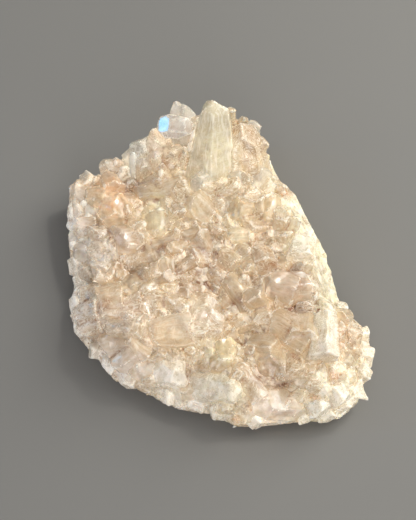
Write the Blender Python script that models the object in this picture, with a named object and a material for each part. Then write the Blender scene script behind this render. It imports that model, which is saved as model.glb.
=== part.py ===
"""Clear quartz cluster: a hand-size piece of intergrown quartz, made as one solid.

The cluster lies on a flat underside. Its crystals are laid out on the display face, the face that is
looked at from the front and from VIEW_ELEVATION above the table. On that face u runs to the right and
v runs up, both in millimetres, and a height is measured from the table. `seen` turns the three into a
place in the model. The solid is built in millimetres and ends in metres.
"""

import math
import random

import bmesh
import bpy
from mathutils import Matrix, Quaternion, Vector, noise

OBJECT_NAME = "quartz_cluster"
MM = 0.001

# Display face.
VIEW_ELEVATION = math.radians(65.0)
HEART_U, HEART_V = 0.0, -8.0  # where the rays to the rim start
SIGHT_STEPS = 12  # halvings that find where a line of sight meets the body

# Massive quartz under the crystals.
BODY_HEIGHT = 25.0
SHOULDER = 15.0  # width of the slope between the rim and the level top
SHOULDER_FULLNESS = 0.7  # below 1 the slope is steeper near the rim
RELIEF_MARGIN = 6.0  # the relief fades out over this width at the rim
FRONT_RIM_HEIGHT = 7.0
REAR_RIM_HEIGHT = 15.0
UNDERCUT = 4.5  # how far the flat underside stays inside the rim
LOWER_RING = 0.35  # the ring between the rim and the underside, as a share of the way up
SLOPE_STEP = 2.0  # the body's slope is measured over this distance each way
BODY_SEGMENTS = 38
BODY_RINGS = (1.0, 0.96, 0.88, 0.77, 0.62, 0.45, 0.27, 0.12)
SWELL_SIZE, SWELL_HEIGHT = 17.0, 2.6
STEP_SIZE, STEP_HEIGHT = 6.5, 1.5

# Quartz geometry. A habit is (slope of the end faces in degrees, number of end faces, least and most
# distance of a side face from the axis as a share of half the width, taper in degrees).
POINT = (52.0, 6, 0.90, 1.04, 2.5)
SLENDER = (56.0, 6, 0.90, 1.04, 4.5)
TAPERED = (48.0, 6, 0.88, 1.04, 10.0)
BLUNT = (33.0, 6, 0.84, 1.06, 4.0)
BLOCK = (24.0, 3, 0.66, 1.08, 5.0)
LARGE_END_FACE = (-0.02, 0.10)  # how far back from the tip an end face cuts, in widths
SMALL_END_FACE = (-0.22, -0.04)
BURIED = 0.7  # how deep a root goes on into the body, in widths
NAMED_SEED = 3
SMALL_WIDTH = 8.0  # a narrower crystal ends in three faces
LOWEST_ROOT = 0.8  # no crystal comes nearer to the table than this

# Clean-up after the pieces are joined: faces this near to one plane become one, and the shortest edges
# go until this many triangles are left.
FLAT_WITHIN = math.radians(0.5)
TRIANGLES = 9600

# Small crystals that fill the ground between the named ones.
FILL_SPACING = 7.3
FILL_WIDTH = (3.4, 6.4)
FILL_RISE = (2.0, 5.0)
FILL_LEAN = 0.6
FILL_FIELD = 132.0
FILL_MARGIN = 2.5  # bare width inside the rim
FILL_CROWDED = 0.9  # none grows nearer to a named crystal's axis than this share of its radius
FILL_SEED = 11

# Grainy lumps of massive quartz along the rim.
LUMP_SPACING = 14.0
LUMP_WIDTH = (3.2, 4.6)
LUMP_HEIGHT = (2.8, 4.2)
LUMP_INSET = (2.4, 3.6)
LUMP_LIFT = (-0.5, 1.5)
LUMP_FACES = 10
LUMP_FACE_DEPTH = (0.86, 1.0)
SMOOTH_FLANK_X, SMOOTH_FLANK_Y = 18.0, -22.0  # the right flank beyond these is straight, with no lumps
LUMP_SEED = 5

# The rim, as (u, v) from the upper left corner round to the right.
RIM = (
    (-60.0, 32.0), (-50.0, 35.5), (-38.0, 39.0), (-26.0, 46.0), (-14.0, 52.0), (0.0, 55.0),
    (10.0, 54.0), (18.0, 50.0), (21.0, 42.0), (25.0, 34.0), (31.0, 28.5), (37.0, 16.5),
    (43.5, 4.0), (47.0, -10.0), (49.5, -17.5), (57.0, -24.5), (60.5, -32.0), (60.5, -41.0),
    (57.0, -48.0), (55.5, -54.5), (48.0, -60.5), (40.0, -61.5), (30.0, -62.0), (18.0, -63.5),
    (7.0, -63.5), (-3.0, -58.5), (-16.0, -57.0), (-30.0, -50.0), (-41.0, -45.5), (-48.0, -37.0),
    (-56.0, -28.5), (-59.0, -20.0), (-58.0, -13.0), (-55.0, -9.0), (-58.5, -2.0), (-60.0, 8.0),
    (-60.0, 20.0),
)

# Mounds and hollows of the body, as (u, v, radius, height).
RELIEF = (
    (-2.0, 42.0, 20.0, 5.0), (-28.0, 42.0, 13.0, 4.0), (30.0, 5.0, 14.0, 2.0),
    (-34.0, -22.0, 14.0, 4.0), (-53.0, -18.0, 10.0, 3.5), (28.0, -9.0, 12.0, 3.5),
    (28.0, -26.0, 13.0, 2.0), (42.0, -27.0, 8.0, 4.0), (4.0, -49.0, 10.0, 3.0),
    (-20.0, -46.0, 9.0, 3.0), (22.0, -56.0, 10.0, 3.0), (52.0, -50.0, 10.0, 3.0),
    (-35.0, 32.5, 7.0, -5.0), (-37.0, -1.5, 5.0, -6.0), (-5.0, -9.5, 9.0, -4.5),
    (31.0, -16.5, 7.0, -4.5), (22.0, -46.0, 8.0, -7.5), (-10.0, -39.0, 7.0, -5.0),
    (10.0, -30.0, 6.0, -4.0), (29.0, -2.5, 5.0, -3.5), (-50.0, 17.0, 6.0, -3.5),
    (-27.0, 5.0, 5.0, -3.0), (8.0, 7.0, 5.0, -2.0), (2.0, 21.0, 4.0, -2.5),
)

# Crystals that stand up at the rear, each as (tip u, tip v, rise, root u, root v, width, flatness,
# roll, habit). The rise is how far the tip stands above the body at its root.
STANDING = (
    (-1.0, 66.3, 25.0, -2.5, 43.0, 21.0, 0.80, 4.0, TAPERED),
    (-18.2, 65.8, 24.0, -17.0, 50.0, 8.5, 0.90, 20.0, SLENDER),
    (-15.0, 65.4, 23.0, -12.0, 50.0, 8.0, 0.80, 5.0, SLENDER),
    (-18.6, 58.2, 16.0, -14.5, 49.0, 15.5, 0.90, 28.0, BLUNT),
    (8.6, 56.0, 13.5, 11.0, 44.0, 18.0, 0.80, 14.0, BLUNT),
    (5.0, 62.8, 19.0, 4.6, 51.0, 7.5, 0.85, 0.0, SLENDER),
    (4.8, 51.0, 9.0, 4.0, 42.0, 10.0, 0.75, 0.0, BLUNT),
    (-7.0, 50.0, 9.0, -8.0, 42.0, 8.0, 0.75, 12.0, BLUNT),
    (10.4, 59.2, 16.0, 10.0, 51.0, 5.0, 0.90, 25.0, POINT),
    (15.0, 56.8, 13.0, 12.5, 49.0, 8.0, 0.75, 20.0, BLUNT),
    (18.8, 50.5, 8.0, 15.0, 44.0, 8.0, 0.85, 12.0, BLOCK),
    (-8.8, 58.8, 15.0, -8.5, 50.0, 7.5, 0.85, 30.0, BLUNT),
    (-14.0, 47.5, 7.0, -12.5, 41.0, 7.0, 0.80, 15.0, POINT),
    (-26.4, 54.6, 13.0, -22.5, 45.0, 11.0, 0.85, 8.0, SLENDER),
    (-18.5, 48.0, 7.0, -18.0, 42.0, 8.0, 0.80, 12.0, BLUNT),
    (-31.8, 51.0, 10.5, -29.0, 42.5, 14.0, 0.88, 16.0, BLUNT),
    (-25.5, 45.5, 8.0, -24.0, 39.0, 7.5, 0.85, 4.0, BLUNT),
    (-29.5, 43.0, 6.5, -29.0, 38.5, 9.0, 0.85, 22.0, BLUNT),
    (-37.8, 45.4, 7.0, -35.0, 40.0, 6.0, 0.85, 22.0, POINT),
    (-34.6, 45.5, 7.0, -33.6, 36.0, 3.6, 0.90, 10.0, POINT),
)

# Crystals that lie or lean on the body, given in the same way but for the third number, the lift: how
# far the tip stands above the body under it.
LEFT_SIDE = (
    (-48.5, 39.4, 4.0, -39.0, 38.5, 8.5, 0.80, 30.0, BLUNT),
    (-43.0, 41.6, 4.0, -39.5, 38.0, 7.0, 0.80, 8.0, BLOCK),
    (-59.2, 31.6, 4.0, -55.5, 29.5, 9.5, 0.85, 12.0, BLOCK),
    (-52.5, 34.2, 4.0, -50.0, 32.0, 8.0, 0.85, 5.0, BLOCK),
    (-45.0, 35.6, 3.0, -43.0, 33.0, 9.0, 0.80, 20.0, BLOCK),
    (-49.5, 26.0, 4.5, -47.8, 26.0, 9.0, 0.82, 16.0, BLUNT),
    (-45.5, 17.2, 5.0, -43.0, 19.5, 10.5, 0.90, 4.0, BLUNT),
    (-42.0, 25.5, 2.5, -40.0, 25.0, 9.0, 0.90, 10.0, BLOCK),
    (-36.5, 25.0, 2.5, -35.5, 24.0, 7.0, 0.90, 10.0, BLOCK),
    (-58.2, 22.0, 5.0, -56.0, 21.5, 8.5, 0.85, 12.0, BLOCK),
    (-57.8, 13.5, 4.5, -55.5, 13.5, 8.5, 0.85, 26.0, BLOCK),
    (-58.0, 5.0, 5.0, -55.5, 4.5, 9.5, 0.85, 8.0, BLUNT),
    (-50.2, 5.0, 4.0, -49.0, 5.5, 8.0, 0.95, 14.0, BLUNT),
    (-51.5, 12.0, 2.5, -50.0, 12.0, 8.0, 0.80, 20.0, BLOCK),
    (-42.5, 8.5, 3.0, -40.0, 8.5, 12.5, 0.72, 24.0, BLOCK),
    (-56.0, -3.5, 4.5, -53.0, -3.0, 9.0, 0.85, 18.0, BLOCK),
    (-48.0, -3.5, 3.5, -46.5, -2.5, 9.0, 0.80, 6.0, BLOCK),
    (-35.5, -3.0, 4.0, -34.5, -1.5, 5.4, 0.90, 10.0, BLUNT),
    (-29.6, -5.0, 4.0, -28.8, -4.0, 6.4, 0.95, 22.0, BLUNT),
    (-24.8, -5.0, 3.5, -24.5, -3.0, 5.0, 0.80, 0.0, BLOCK),
    (-23.8, 23.5, 4.0, -23.2, 18.0, 7.0, 0.60, 6.0, POINT),
    (-28.8, 9.2, 3.5, -30.4, 14.0, 3.2, 0.80, 10.0, POINT),
    (-33.5, 12.0, 3.0, -34.0, 14.0, 6.0, 0.85, 15.0, BLUNT),
    (-24.0, 10.8, 3.5, -25.0, 15.0, 6.6, 0.80, 18.0, BLUNT),
    (-18.5, 13.6, 3.5, -19.2, 16.5, 6.4, 0.85, 4.0, BLUNT),
    (-30.5, 21.5, 2.5, -30.0, 21.0, 7.5, 0.85, 22.0, BLUNT),
    (-21.0, 3.5, 3.5, -20.6, -1.0, 6.4, 0.85, 12.0, BLUNT),
    (-37.2, -10.8, 4.5, -36.0, -10.5, 12.5, 0.68, 20.0, BLUNT),
    (-20.6, -10.4, 3.5, -20.0, -9.6, 5.6, 0.85, 10.0, BLUNT),
)
LOWER_LEFT = (
    (-56.5, -13.5, 5.5, -52.5, -13.0, 10.0, 0.80, 12.0, BLOCK),
    (-57.5, -20.8, 5.5, -53.5, -19.5, 12.0, 0.85, 24.0, BLOCK),
    (-55.5, -27.0, 5.0, -52.0, -25.0, 9.5, 0.85, 6.0, BLOCK),
    (-48.0, -14.0, 3.0, -45.0, -13.5, 9.0, 0.80, 6.0, BLOCK),
    (-46.5, -18.8, 2.5, -34.0, -18.5, 9.0, 0.75, 16.0, BLOCK),
    (-45.0, -25.0, 2.0, -35.0, -24.5, 9.5, 0.80, 8.0, BLUNT),
    (-29.0, -27.5, 2.0, -20.0, -26.0, 16.0, 0.66, 4.0, BLOCK),
    (-47.0, -33.0, 4.0, -42.5, -31.5, 13.0, 0.80, 14.0, BLOCK),
    (-42.5, -41.0, 4.5, -38.5, -38.5, 12.5, 0.80, 28.0, BLOCK),
    (-35.0, -44.5, 4.5, -32.0, -42.0, 12.0, 0.88, 8.0, BLUNT),
    (-27.5, -47.0, 4.0, -26.0, -45.0, 7.5, 0.88, 8.0, BLOCK),
    (-25.0, -38.5, 3.0, -23.5, -36.5, 8.0, 0.80, 18.0, BLUNT),
    (-19.5, -47.5, 6.5, -18.8, -44.0, 14.0, 0.88, 22.0, BLUNT),
    (-12.0, -52.8, 4.5, -11.0, -50.0, 9.0, 0.85, 12.0, BLOCK),
    (-15.0, -30.0, 3.5, -7.5, -19.0, 8.5, 0.75, 8.0, POINT),
    (-18.0, -23.0, 3.5, -11.0, -17.0, 6.5, 0.80, 26.0, POINT),
    (-8.0, -26.0, 3.5, -4.5, -18.5, 7.5, 0.80, 14.0, BLUNT),
    (-8.5, -13.2, 4.0, -4.0, -14.8, 6.0, 0.80, 4.0, BLUNT),
    (-3.5, -29.0, 3.0, -2.8, -26.5, 9.0, 0.85, 10.0, BLOCK),
    (-11.0, -41.0, 3.5, -9.8, -38.5, 6.0, 0.85, 18.0, POINT),
    (-30.0, -15.5, 2.5, -26.5, -14.8, 7.5, 0.75, 0.0, BLOCK),
    (-21.0, -16.0, 2.5, -19.0, -15.8, 6.5, 0.75, 10.0, BLOCK),
)
CENTRE = (
    (3.2, 11.4, 3.5, 8.5, 11.6, 5.4, 0.80, 10.0, BLUNT),
    (10.0, 14.8, 3.5, 13.5, 15.4, 6.2, 0.75, 24.0, BLUNT),
    (10.0, 24.0, 3.5, 9.7, 22.5, 10.0, 0.85, 12.0, BLUNT),
    (9.5, 18.5, 2.5, 9.5, 18.0, 8.0, 0.85, 22.0, BLOCK),
    (16.8, 27.5, 3.0, 16.8, 23.0, 7.5, 0.80, 28.0, BLOCK),
    (22.0, 28.5, 3.5, 22.2, 21.0, 7.5, 0.80, 8.0, BLUNT),
    (27.0, 22.0, 3.0, 27.0, 20.0, 8.0, 0.85, 12.0, BLOCK),
    (21.0, 11.0, 3.5, 21.5, 9.0, 9.5, 0.85, 18.0, BLUNT),
    (16.2, 5.5, 3.0, 17.0, 3.5, 8.0, 0.85, 6.0, BLOCK),
    (26.2, 4.5, 3.0, 27.0, 3.0, 7.5, 0.85, 22.0, BLUNT),
    (8.2, 5.0, 3.5, 9.2, 3.5, 8.5, 0.85, 12.0, BLOCK),
    (13.0, -3.6, 4.0, 12.5, -1.5, 5.6, 0.80, 14.0, BLUNT),
    (2.6, -5.2, 4.5, 11.0, -14.5, 8.0, 0.80, 20.0, BLOCK),
    (-2.8, -5.2, 4.5, -0.5, -4.6, 7.0, 0.80, 8.0, BLOCK),
    (0.0, 4.8, 3.0, 2.5, 2.5, 6.5, 0.80, 12.0, BLUNT),
    (-9.0, 13.5, 2.5, -8.2, 11.5, 8.5, 0.85, 4.0, BLOCK),
    (-13.0, 4.0, 2.5, -10.0, 3.2, 8.5, 0.75, 18.0, BLOCK),
    (-12.5, 26.5, 2.5, -11.0, 25.0, 11.0, 0.75, 10.0, BLOCK),
    (-4.0, 22.5, 2.0, -3.5, 22.0, 8.0, 0.80, 24.0, BLOCK),
    (-17.0, 33.0, 2.5, -16.0, 31.0, 8.0, 0.80, 14.0, BLOCK),
    (-8.0, 34.5, 3.0, -7.5, 32.5, 8.0, 0.80, 4.0, BLUNT),
    (16.5, -7.0, 3.5, 21.0, -6.8, 11.5, 0.80, 22.0, BLUNT),
    (38.0, -8.0, 3.5, 31.0, -8.8, 12.5, 0.78, 10.0, BLOCK),
    (34.0, 11.0, 4.0, 33.5, 7.5, 12.0, 0.80, 16.0, BLOCK),
    (29.5, 7.4, 3.5, 31.5, 5.8, 7.5, 0.80, 4.0, BLUNT),
    (37.0, 2.0, 4.0, 35.5, 0.0, 8.5, 0.80, 26.0, BLOCK),
    (1.0, 35.5, 3.0, 0.8, 32.5, 6.5, 0.85, 10.0, BLUNT),
    (9.0, 35.0, 3.0, 8.5, 32.5, 7.0, 0.80, 20.0, BLOCK),
    (17.0, 38.0, 4.5, 15.8, 34.0, 8.5, 0.85, 18.0, BLUNT),
    (21.5, 34.0, 3.5, 20.0, 31.5, 7.0, 0.80, 3.0, BLUNT),
)
LOWER_RIGHT = (
    (42.3, -19.0, 3.0, 41.8, -29.0, 12.5, 0.78, 12.0, BLOCK),
    (7.4, -19.0, 3.5, 8.4, -20.8, 7.6, 0.85, 8.0, BLUNT),
    (12.8, -24.4, 3.5, 13.0, -22.8, 7.2, 0.90, 20.0, BLUNT),
    (22.0, -24.0, 2.5, 28.0, -25.4, 16.0, 0.66, 4.0, BLOCK),
    (33.5, -21.0, 3.0, 33.2, -25.0, 10.5, 0.75, 20.0, BLOCK),
    (15.6, -38.6, 4.0, 20.0, -37.6, 12.0, 0.88, 14.0, BLUNT),
    (40.4, -39.6, 3.5, 35.0, -34.0, 8.2, 0.80, 10.0, BLUNT),
    (31.0, -44.5, 3.5, 30.6, -42.0, 9.0, 0.80, 24.0, BLOCK),
    (-1.2, -34.2, 3.5, -0.2, -35.4, 7.6, 0.90, 6.0, BLUNT),
    (4.0, -37.0, 3.5, 3.7, -35.6, 7.0, 0.90, 16.0, BLUNT),
    (1.0, -42.0, 3.0, 1.4, -41.0, 11.0, 0.85, 22.0, BLOCK),
    (13.0, -53.5, 5.5, 24.0, -54.5, 15.0, 0.90, 18.0, BLUNT),
    (29.5, -57.0, 5.5, 28.0, -55.5, 13.0, 0.85, 6.0, BLOCK),
    (9.0, -49.8, 5.0, -3.5, -48.4, 12.0, 0.88, 8.0, BLUNT),
    (3.0, -60.0, 4.5, 3.4, -56.0, 9.0, 0.85, 12.0, BLOCK),
    (11.2, -63.0, 4.0, 10.8, -59.0, 9.0, 0.85, 4.0, BLUNT),
    (21.5, -62.5, 3.0, 20.5, -60.0, 9.0, 0.80, 20.0, BLOCK),
    (32.5, -54.0, 3.5, 33.0, -52.2, 8.0, 0.85, 28.0, BLUNT),
    (41.0, -60.5, 4.5, 40.0, -57.0, 10.5, 0.85, 10.0, BLOCK),
    (50.0, -55.5, 4.5, 47.8, -52.5, 11.5, 0.85, 16.0, BLOCK),
    (56.5, -37.5, 4.5, 54.5, -36.5, 10.5, 0.85, 30.0, BLOCK),
    (57.5, -28.0, 4.5, 54.5, -28.6, 9.5, 0.80, 22.0, BLOCK),
    (51.5, -19.8, 3.5, 49.0, -21.4, 8.0, 0.85, 6.0, BLUNT),
    (50.5, -31.0, 3.0, 49.2, -32.4, 8.5, 0.80, 12.0, BLUNT),
    (48.0, -43.5, 3.5, 46.5, -43.0, 11.0, 0.85, 26.0, BLOCK),
    (55.5, -47.0, 4.0, 53.0, -46.0, 9.0, 0.85, 16.0, BLOCK),
    (38.5, -49.0, 3.0, 38.0, -48.0, 9.0, 0.85, 20.0, BLOCK),
)
LYING = LEFT_SIDE + LOWER_LEFT + CENTRE + LOWER_RIGHT

QUARTZ_COLOUR = (0.80, 0.70, 0.56, 1.0)
QUARTZ_ROUGHNESS = 0.22
QUARTZ_IOR = 1.544


def seen(u, v, height):
    """The place, in millimetres, that shows at (u, v) on the display face and has this height."""
    return Vector((u, (v - height * math.cos(VIEW_ELEVATION)) / math.sin(VIEW_ELEVATION), height))


def smooth(t):
    """0 to 1 with level ends, for t from 0 to 1."""
    t = min(max(t, 0.0), 1.0)
    return t * t * (3.0 - 2.0 * t)


def rim_height(v):
    """Height of the widest line of the body, lower at the front than at the rear."""
    return FRONT_RIM_HEIGHT + (REAR_RIM_HEIGHT - FRONT_RIM_HEIGHT) * smooth((v + 20.0) / 60.0)


RIM_PLACES = [seen(u, v, rim_height(v)) for u, v in RIM]
HEART = seen(HEART_U, HEART_V, BODY_HEIGHT)


def rim_at(turn):
    """(distance from the heart, height) of the rim in the direction of this angle, in plan."""
    ray = Vector((math.cos(turn), math.sin(turn)))
    across = Vector((-ray.y, ray.x))
    for start, end in zip(RIM_PLACES, RIM_PLACES[1:] + RIM_PLACES[:1]):
        a, b = (start - HEART).xy, (end - HEART).xy
        side_a, side_b = a.dot(across), b.dot(across)
        if side_a * side_b > 0.0 or side_a == side_b:
            continue
        share = side_a / (side_a - side_b)
        distance = (a + (b - a) * share).dot(ray)
        if distance > 0.0:
            return distance, start.z + (end.z - start.z) * share
    raise ValueError("the rim doesn't close round the heart")


def swell(x, y):
    """Soft swellings and sharper steps of the body's top."""
    slow = noise.noise(Vector((x / SWELL_SIZE, y / SWELL_SIZE, 0.3)))
    sharp = noise.cell(Vector((x / STEP_SIZE + slow, y / STEP_SIZE, 4.0))) - 0.5
    return SWELL_HEIGHT * slow + STEP_HEIGHT * sharp


RELIEF_PLACES = [(seen(u, v, BODY_HEIGHT), radius, height) for u, v, radius, height in RELIEF]


def body_top(x, y):
    """Height of the body above a point of the plan."""
    offset = Vector((x, y)) - HEART.xy
    reach, edge = rim_at(math.atan2(offset.y, offset.x))
    inside = reach - offset.length
    height = edge + (BODY_HEIGHT - edge) * smooth(inside / SHOULDER) ** SHOULDER_FULLNESS
    relief = swell(x, y)
    for place, radius, rise in RELIEF_PLACES:
        nearness = (Vector((x, y)) - place.xy).length / radius
        relief += rise * math.exp(-nearness * nearness)
    return height + relief * smooth(inside / RELIEF_MARGIN)


def on_body(u, v):
    """The place on the body's top that shows at (u, v) on the display face."""
    height = BODY_HEIGHT
    for _ in range(SIGHT_STEPS):
        place = seen(u, v, height)
        height = 0.5 * (height + body_top(place.x, place.y))
    return seen(u, v, height)


def body_slope(place):
    """The direction that faces straight out of the body's top."""
    step = SLOPE_STEP
    east = body_top(place.x + step, place.y) - body_top(place.x - step, place.y)
    north = body_top(place.x, place.y + step) - body_top(place.x, place.y - step)
    return Vector((-east, -north, 2.0 * step)).normalized()


def new_object(name, bm, collection):
    """A mesh object from a bmesh, which is freed."""
    mesh = bpy.data.meshes.new(name)
    bm.to_mesh(mesh)
    bm.free()
    obj = bpy.data.objects.new(name, mesh)
    collection.objects.link(obj)
    return obj


def cut(bm, point, normal):
    """Takes off what lies beyond the plane, and closes the cut with one flat face."""
    geometry = bm.verts[:] + bm.edges[:] + bm.faces[:]
    made = bmesh.ops.bisect_plane(
        bm, geom=geometry, dist=1e-4, plane_co=point, plane_no=normal, clear_outer=True
    )
    edges = [item for item in made["geom_cut"] if isinstance(item, bmesh.types.BMEdge)]
    if edges:
        bmesh.ops.holes_fill(bm, edges=edges, sides=0)


def body(collection):
    """The massive quartz: a sphere drawn out to the rim, with a flat underside inside it."""
    bm = bmesh.new()
    rings = len(BODY_RINGS) + 3
    bmesh.ops.create_uvsphere(bm, u_segments=BODY_SEGMENTS, v_segments=rings, radius=1.0)
    for vertex in bm.verts:
        turn = math.atan2(vertex.co.y, vertex.co.x)
        ring = round((0.5 - math.asin(max(-1.0, min(1.0, vertex.co.z))) / math.pi) * rings)
        reach, edge = rim_at(turn)
        below = ring - (rings - 2)
        if below >= 0:
            share, height = (
                (1.0 - UNDERCUT * LOWER_RING / reach, edge * LOWER_RING),
                (1.0 - UNDERCUT / reach, 0.0),
                (0.0, 0.0),
            )[below]
        else:
            share = 0.0 if ring == 0 else BODY_RINGS[-ring]
            height = None
        x = HEART.x + share * reach * math.cos(turn)
        y = HEART.y + share * reach * math.sin(turn)
        vertex.co = (x, y, body_top(x, y) if height is None else height)
    bmesh.ops.recalc_face_normals(bm, faces=bm.faces)
    return new_object("body", bm, collection)


def crystal(collection, root, tip, width, flatness, roll, habit, rng):
    """A six-sided prism that ends in uneven faces, with its root buried in the body."""
    slope, end_faces, least_side, most_side, taper = habit
    if width < SMALL_WIDTH:
        end_faces = 3
    axis = tip - root
    foot = root - axis.normalized() * width * BURIED
    length = (tip - foot).length
    taper = math.radians(taper)
    bm = bmesh.new()
    bmesh.ops.create_cube(bm, size=1.0)
    bmesh.ops.scale(bm, vec=(3.0 * width, 3.0 * width, length), verts=bm.verts)
    bmesh.ops.translate(bm, vec=(0.0, 0.0, length / 2), verts=bm.verts)
    for side in range(6):
        turn = side * math.pi / 3
        out = Vector((math.cos(turn), math.sin(turn), 0.0))
        reach = out * width / 2 * rng.uniform(least_side, most_side)
        reach.z = (root - foot).length
        cut(bm, reach, out * math.cos(taper) + Vector((0.0, 0.0, math.sin(taper))))
    lean = math.radians(slope)
    for side in range(end_faces):
        turn = side * math.tau / end_faces
        top = length - width * rng.uniform(*(SMALL_END_FACE if side % 2 else LARGE_END_FACE))
        out = Vector((math.cos(turn) * math.sin(lean), math.sin(turn) * math.sin(lean), math.cos(lean)))
        cut(bm, Vector((0.0, 0.0, top)), out)
    bmesh.ops.scale(bm, vec=(1.0, flatness, 1.0), verts=bm.verts)
    aim = axis.to_track_quat("Z", "Y") @ Quaternion((0.0, 0.0, 1.0), math.radians(roll))
    bmesh.ops.transform(bm, matrix=Matrix.Translation(foot) @ aim.to_matrix().to_4x4(), verts=bm.verts)
    cut(bm, Vector((0.0, 0.0, LOWEST_ROOT)), Vector((0.0, 0.0, -1.0)))
    bmesh.ops.recalc_face_normals(bm, faces=bm.faces)
    return new_object("crystal", bm, collection)


def named_crystals(collection):
    """Every crystal of the lists, and the room that each takes in plan, as (place, radius)."""
    rng = random.Random(NAMED_SEED)
    taken = []
    for index, entry in enumerate(STANDING + LYING):
        tip_u, tip_v, rise, root_u, root_v, width, flatness, roll, habit = entry
        root = on_body(root_u, root_v)
        ground = root if index < len(STANDING) else on_body(tip_u, tip_v)
        tip = seen(tip_u, tip_v, ground.z + rise)
        crystal(collection, root, tip, width, flatness, roll, habit, rng)
        steps = max(2, round((tip - root).length / width) + 1)
        for step in range(steps):
            taken.append((root.lerp(tip, step / (steps - 1)).xy, width / 2))
    return taken


def fill_crystals(collection, taken):
    """Small crystals on a shaken grid, left out where a named crystal stands."""
    rng = random.Random(FILL_SEED)
    steps = int(FILL_FIELD / FILL_SPACING)
    for row in range(steps):
        for column in range(steps):
            x = HEART.x - FILL_FIELD / 2 + (column + rng.uniform(0.1, 0.9)) * FILL_SPACING
            y = HEART.y - FILL_FIELD / 2 + (row + rng.uniform(0.1, 0.9)) * FILL_SPACING
            width = rng.uniform(*FILL_WIDTH)
            rise = rng.uniform(*FILL_RISE)
            lean = FILL_LEAN * Vector((rng.uniform(-1.0, 1.0), rng.uniform(-1.0, 1.0), rng.random() / 2))
            flatness, roll = rng.uniform(0.7, 1.0), rng.uniform(0.0, 60.0)
            offset = Vector((x, y)) - HEART.xy
            reach, _ = rim_at(math.atan2(offset.y, offset.x))
            if offset.length > reach - FILL_MARGIN:
                continue
            if any((place - Vector((x, y))).length < FILL_CROWDED * radius for place, radius in taken):
                continue
            root = Vector((x, y, body_top(x, y)))
            tip = root + (body_slope(root) + lean).normalized() * rise
            crystal(collection, root, tip, width, flatness, roll, BLOCK, rng)


def lump(collection, place, size, rng):
    """A grain of massive quartz: a block whose corners are cut off by flat faces."""
    bm = bmesh.new()
    bmesh.ops.create_cube(bm, size=3.0)
    for index in range(LUMP_FACES):
        height = 1.0 - 2.0 * (index + 0.5) / LUMP_FACES
        turn = index * math.pi * (3.0 - math.sqrt(5.0)) + rng.uniform(-0.3, 0.3)
        ring = math.sqrt(1.0 - height * height)
        out = Vector((ring * math.cos(turn), ring * math.sin(turn), height))
        cut(bm, out * rng.uniform(*LUMP_FACE_DEPTH), out)
    bmesh.ops.scale(bm, vec=size, verts=bm.verts)
    aim = Matrix.Rotation(rng.uniform(0.0, math.tau), 4, "Z")
    bmesh.ops.transform(bm, matrix=Matrix.Translation(place) @ aim, verts=bm.verts)
    cut(bm, Vector((0.0, 0.0, LOWEST_ROOT)), Vector((0.0, 0.0, -1.0)))
    bmesh.ops.recalc_face_normals(bm, faces=bm.faces)
    return new_object("lump", bm, collection)


def rim_lumps(collection):
    """Grains all round the rim, so that the body ends in knobs and notches and not in a smooth wall."""
    rng = random.Random(LUMP_SEED)
    for start, end in zip(RIM_PLACES, RIM_PLACES[1:] + RIM_PLACES[:1]):
        pieces = max(1, round((end - start).length / LUMP_SPACING))
        for piece in range(pieces):
            place = start.lerp(end, (piece + rng.uniform(0.2, 0.8)) / pieces)
            if place.x > SMOOTH_FLANK_X and place.y > SMOOTH_FLANK_Y:
                continue
            inwards = (HEART - place).xy.normalized().to_3d()
            size = Vector([rng.uniform(*span) for span in (LUMP_WIDTH, LUMP_WIDTH, LUMP_HEIGHT)])
            place += inwards * rng.uniform(*LUMP_INSET)
            place.z += rng.uniform(*LUMP_LIFT)
            lump(collection, place, size, rng)


def drop_loose_shells(bm):
    """Keeps the outer shell alone, without the closed pockets that meeting crystals can leave."""
    shells = []
    left = set(bm.faces)
    while left:
        shell, front = set(), [left.pop()]
        while front:
            face = front.pop()
            shell.add(face)
            for edge in face.edges:
                for other in edge.link_faces:
                    if other in left:
                        left.remove(other)
                        front.append(other)
        shells.append(shell)
    outer = max(shells, key=len)
    bmesh.ops.delete(bm, geom=[f for shell in shells if shell is not outer for f in shell], context="FACES")


def fused(base, pieces, collection):
    """One solid from the body and everything that grows on it, in metres, centred over the origin."""
    union = base.modifiers.new("grown together", "BOOLEAN")
    union.operation = "UNION"
    union.solver = "EXACT"
    union.operand_type = "COLLECTION"
    union.collection = pieces
    graph = bpy.context.evaluated_depsgraph_get()
    bm = bmesh.new()
    bm.from_object(base, graph)
    bmesh.ops.dissolve_limit(bm, angle_limit=FLAT_WITHIN, verts=bm.verts, edges=bm.edges)
    drop_loose_shells(bm)
    bmesh.ops.triangulate(bm, faces=bm.faces)
    across = [vertex.co.x for vertex in bm.verts]
    along = [vertex.co.y for vertex in bm.verts]
    middle = Vector(((min(across) + max(across)) / 2, (min(along) + max(along)) / 2, 0.0))
    bmesh.ops.translate(bm, vec=-middle, verts=bm.verts)
    bmesh.ops.scale(bm, vec=(MM, MM, MM), verts=bm.verts)
    share = TRIANGLES / len(bm.faces)
    cluster = new_object(OBJECT_NAME, bm, collection)
    slivers = cluster.modifiers.new("without slivers", "DECIMATE")
    slivers.ratio = min(1.0, share)
    return cluster


def quartz_material():
    """Pale warm quartz."""
    material = bpy.data.materials.new("quartz")
    material.use_nodes = True
    shader = material.node_tree.nodes["Principled BSDF"]
    shader.inputs["Base Color"].default_value = QUARTZ_COLOUR
    shader.inputs["Roughness"].default_value = QUARTZ_ROUGHNESS
    shader.inputs["Metallic"].default_value = 0.0
    shader.inputs["IOR"].default_value = QUARTZ_IOR
    return material


def clear_scene():
    """Removes what the scene starts with."""
    for obj in list(bpy.data.objects):
        bpy.data.objects.remove(obj, do_unlink=True)


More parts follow.
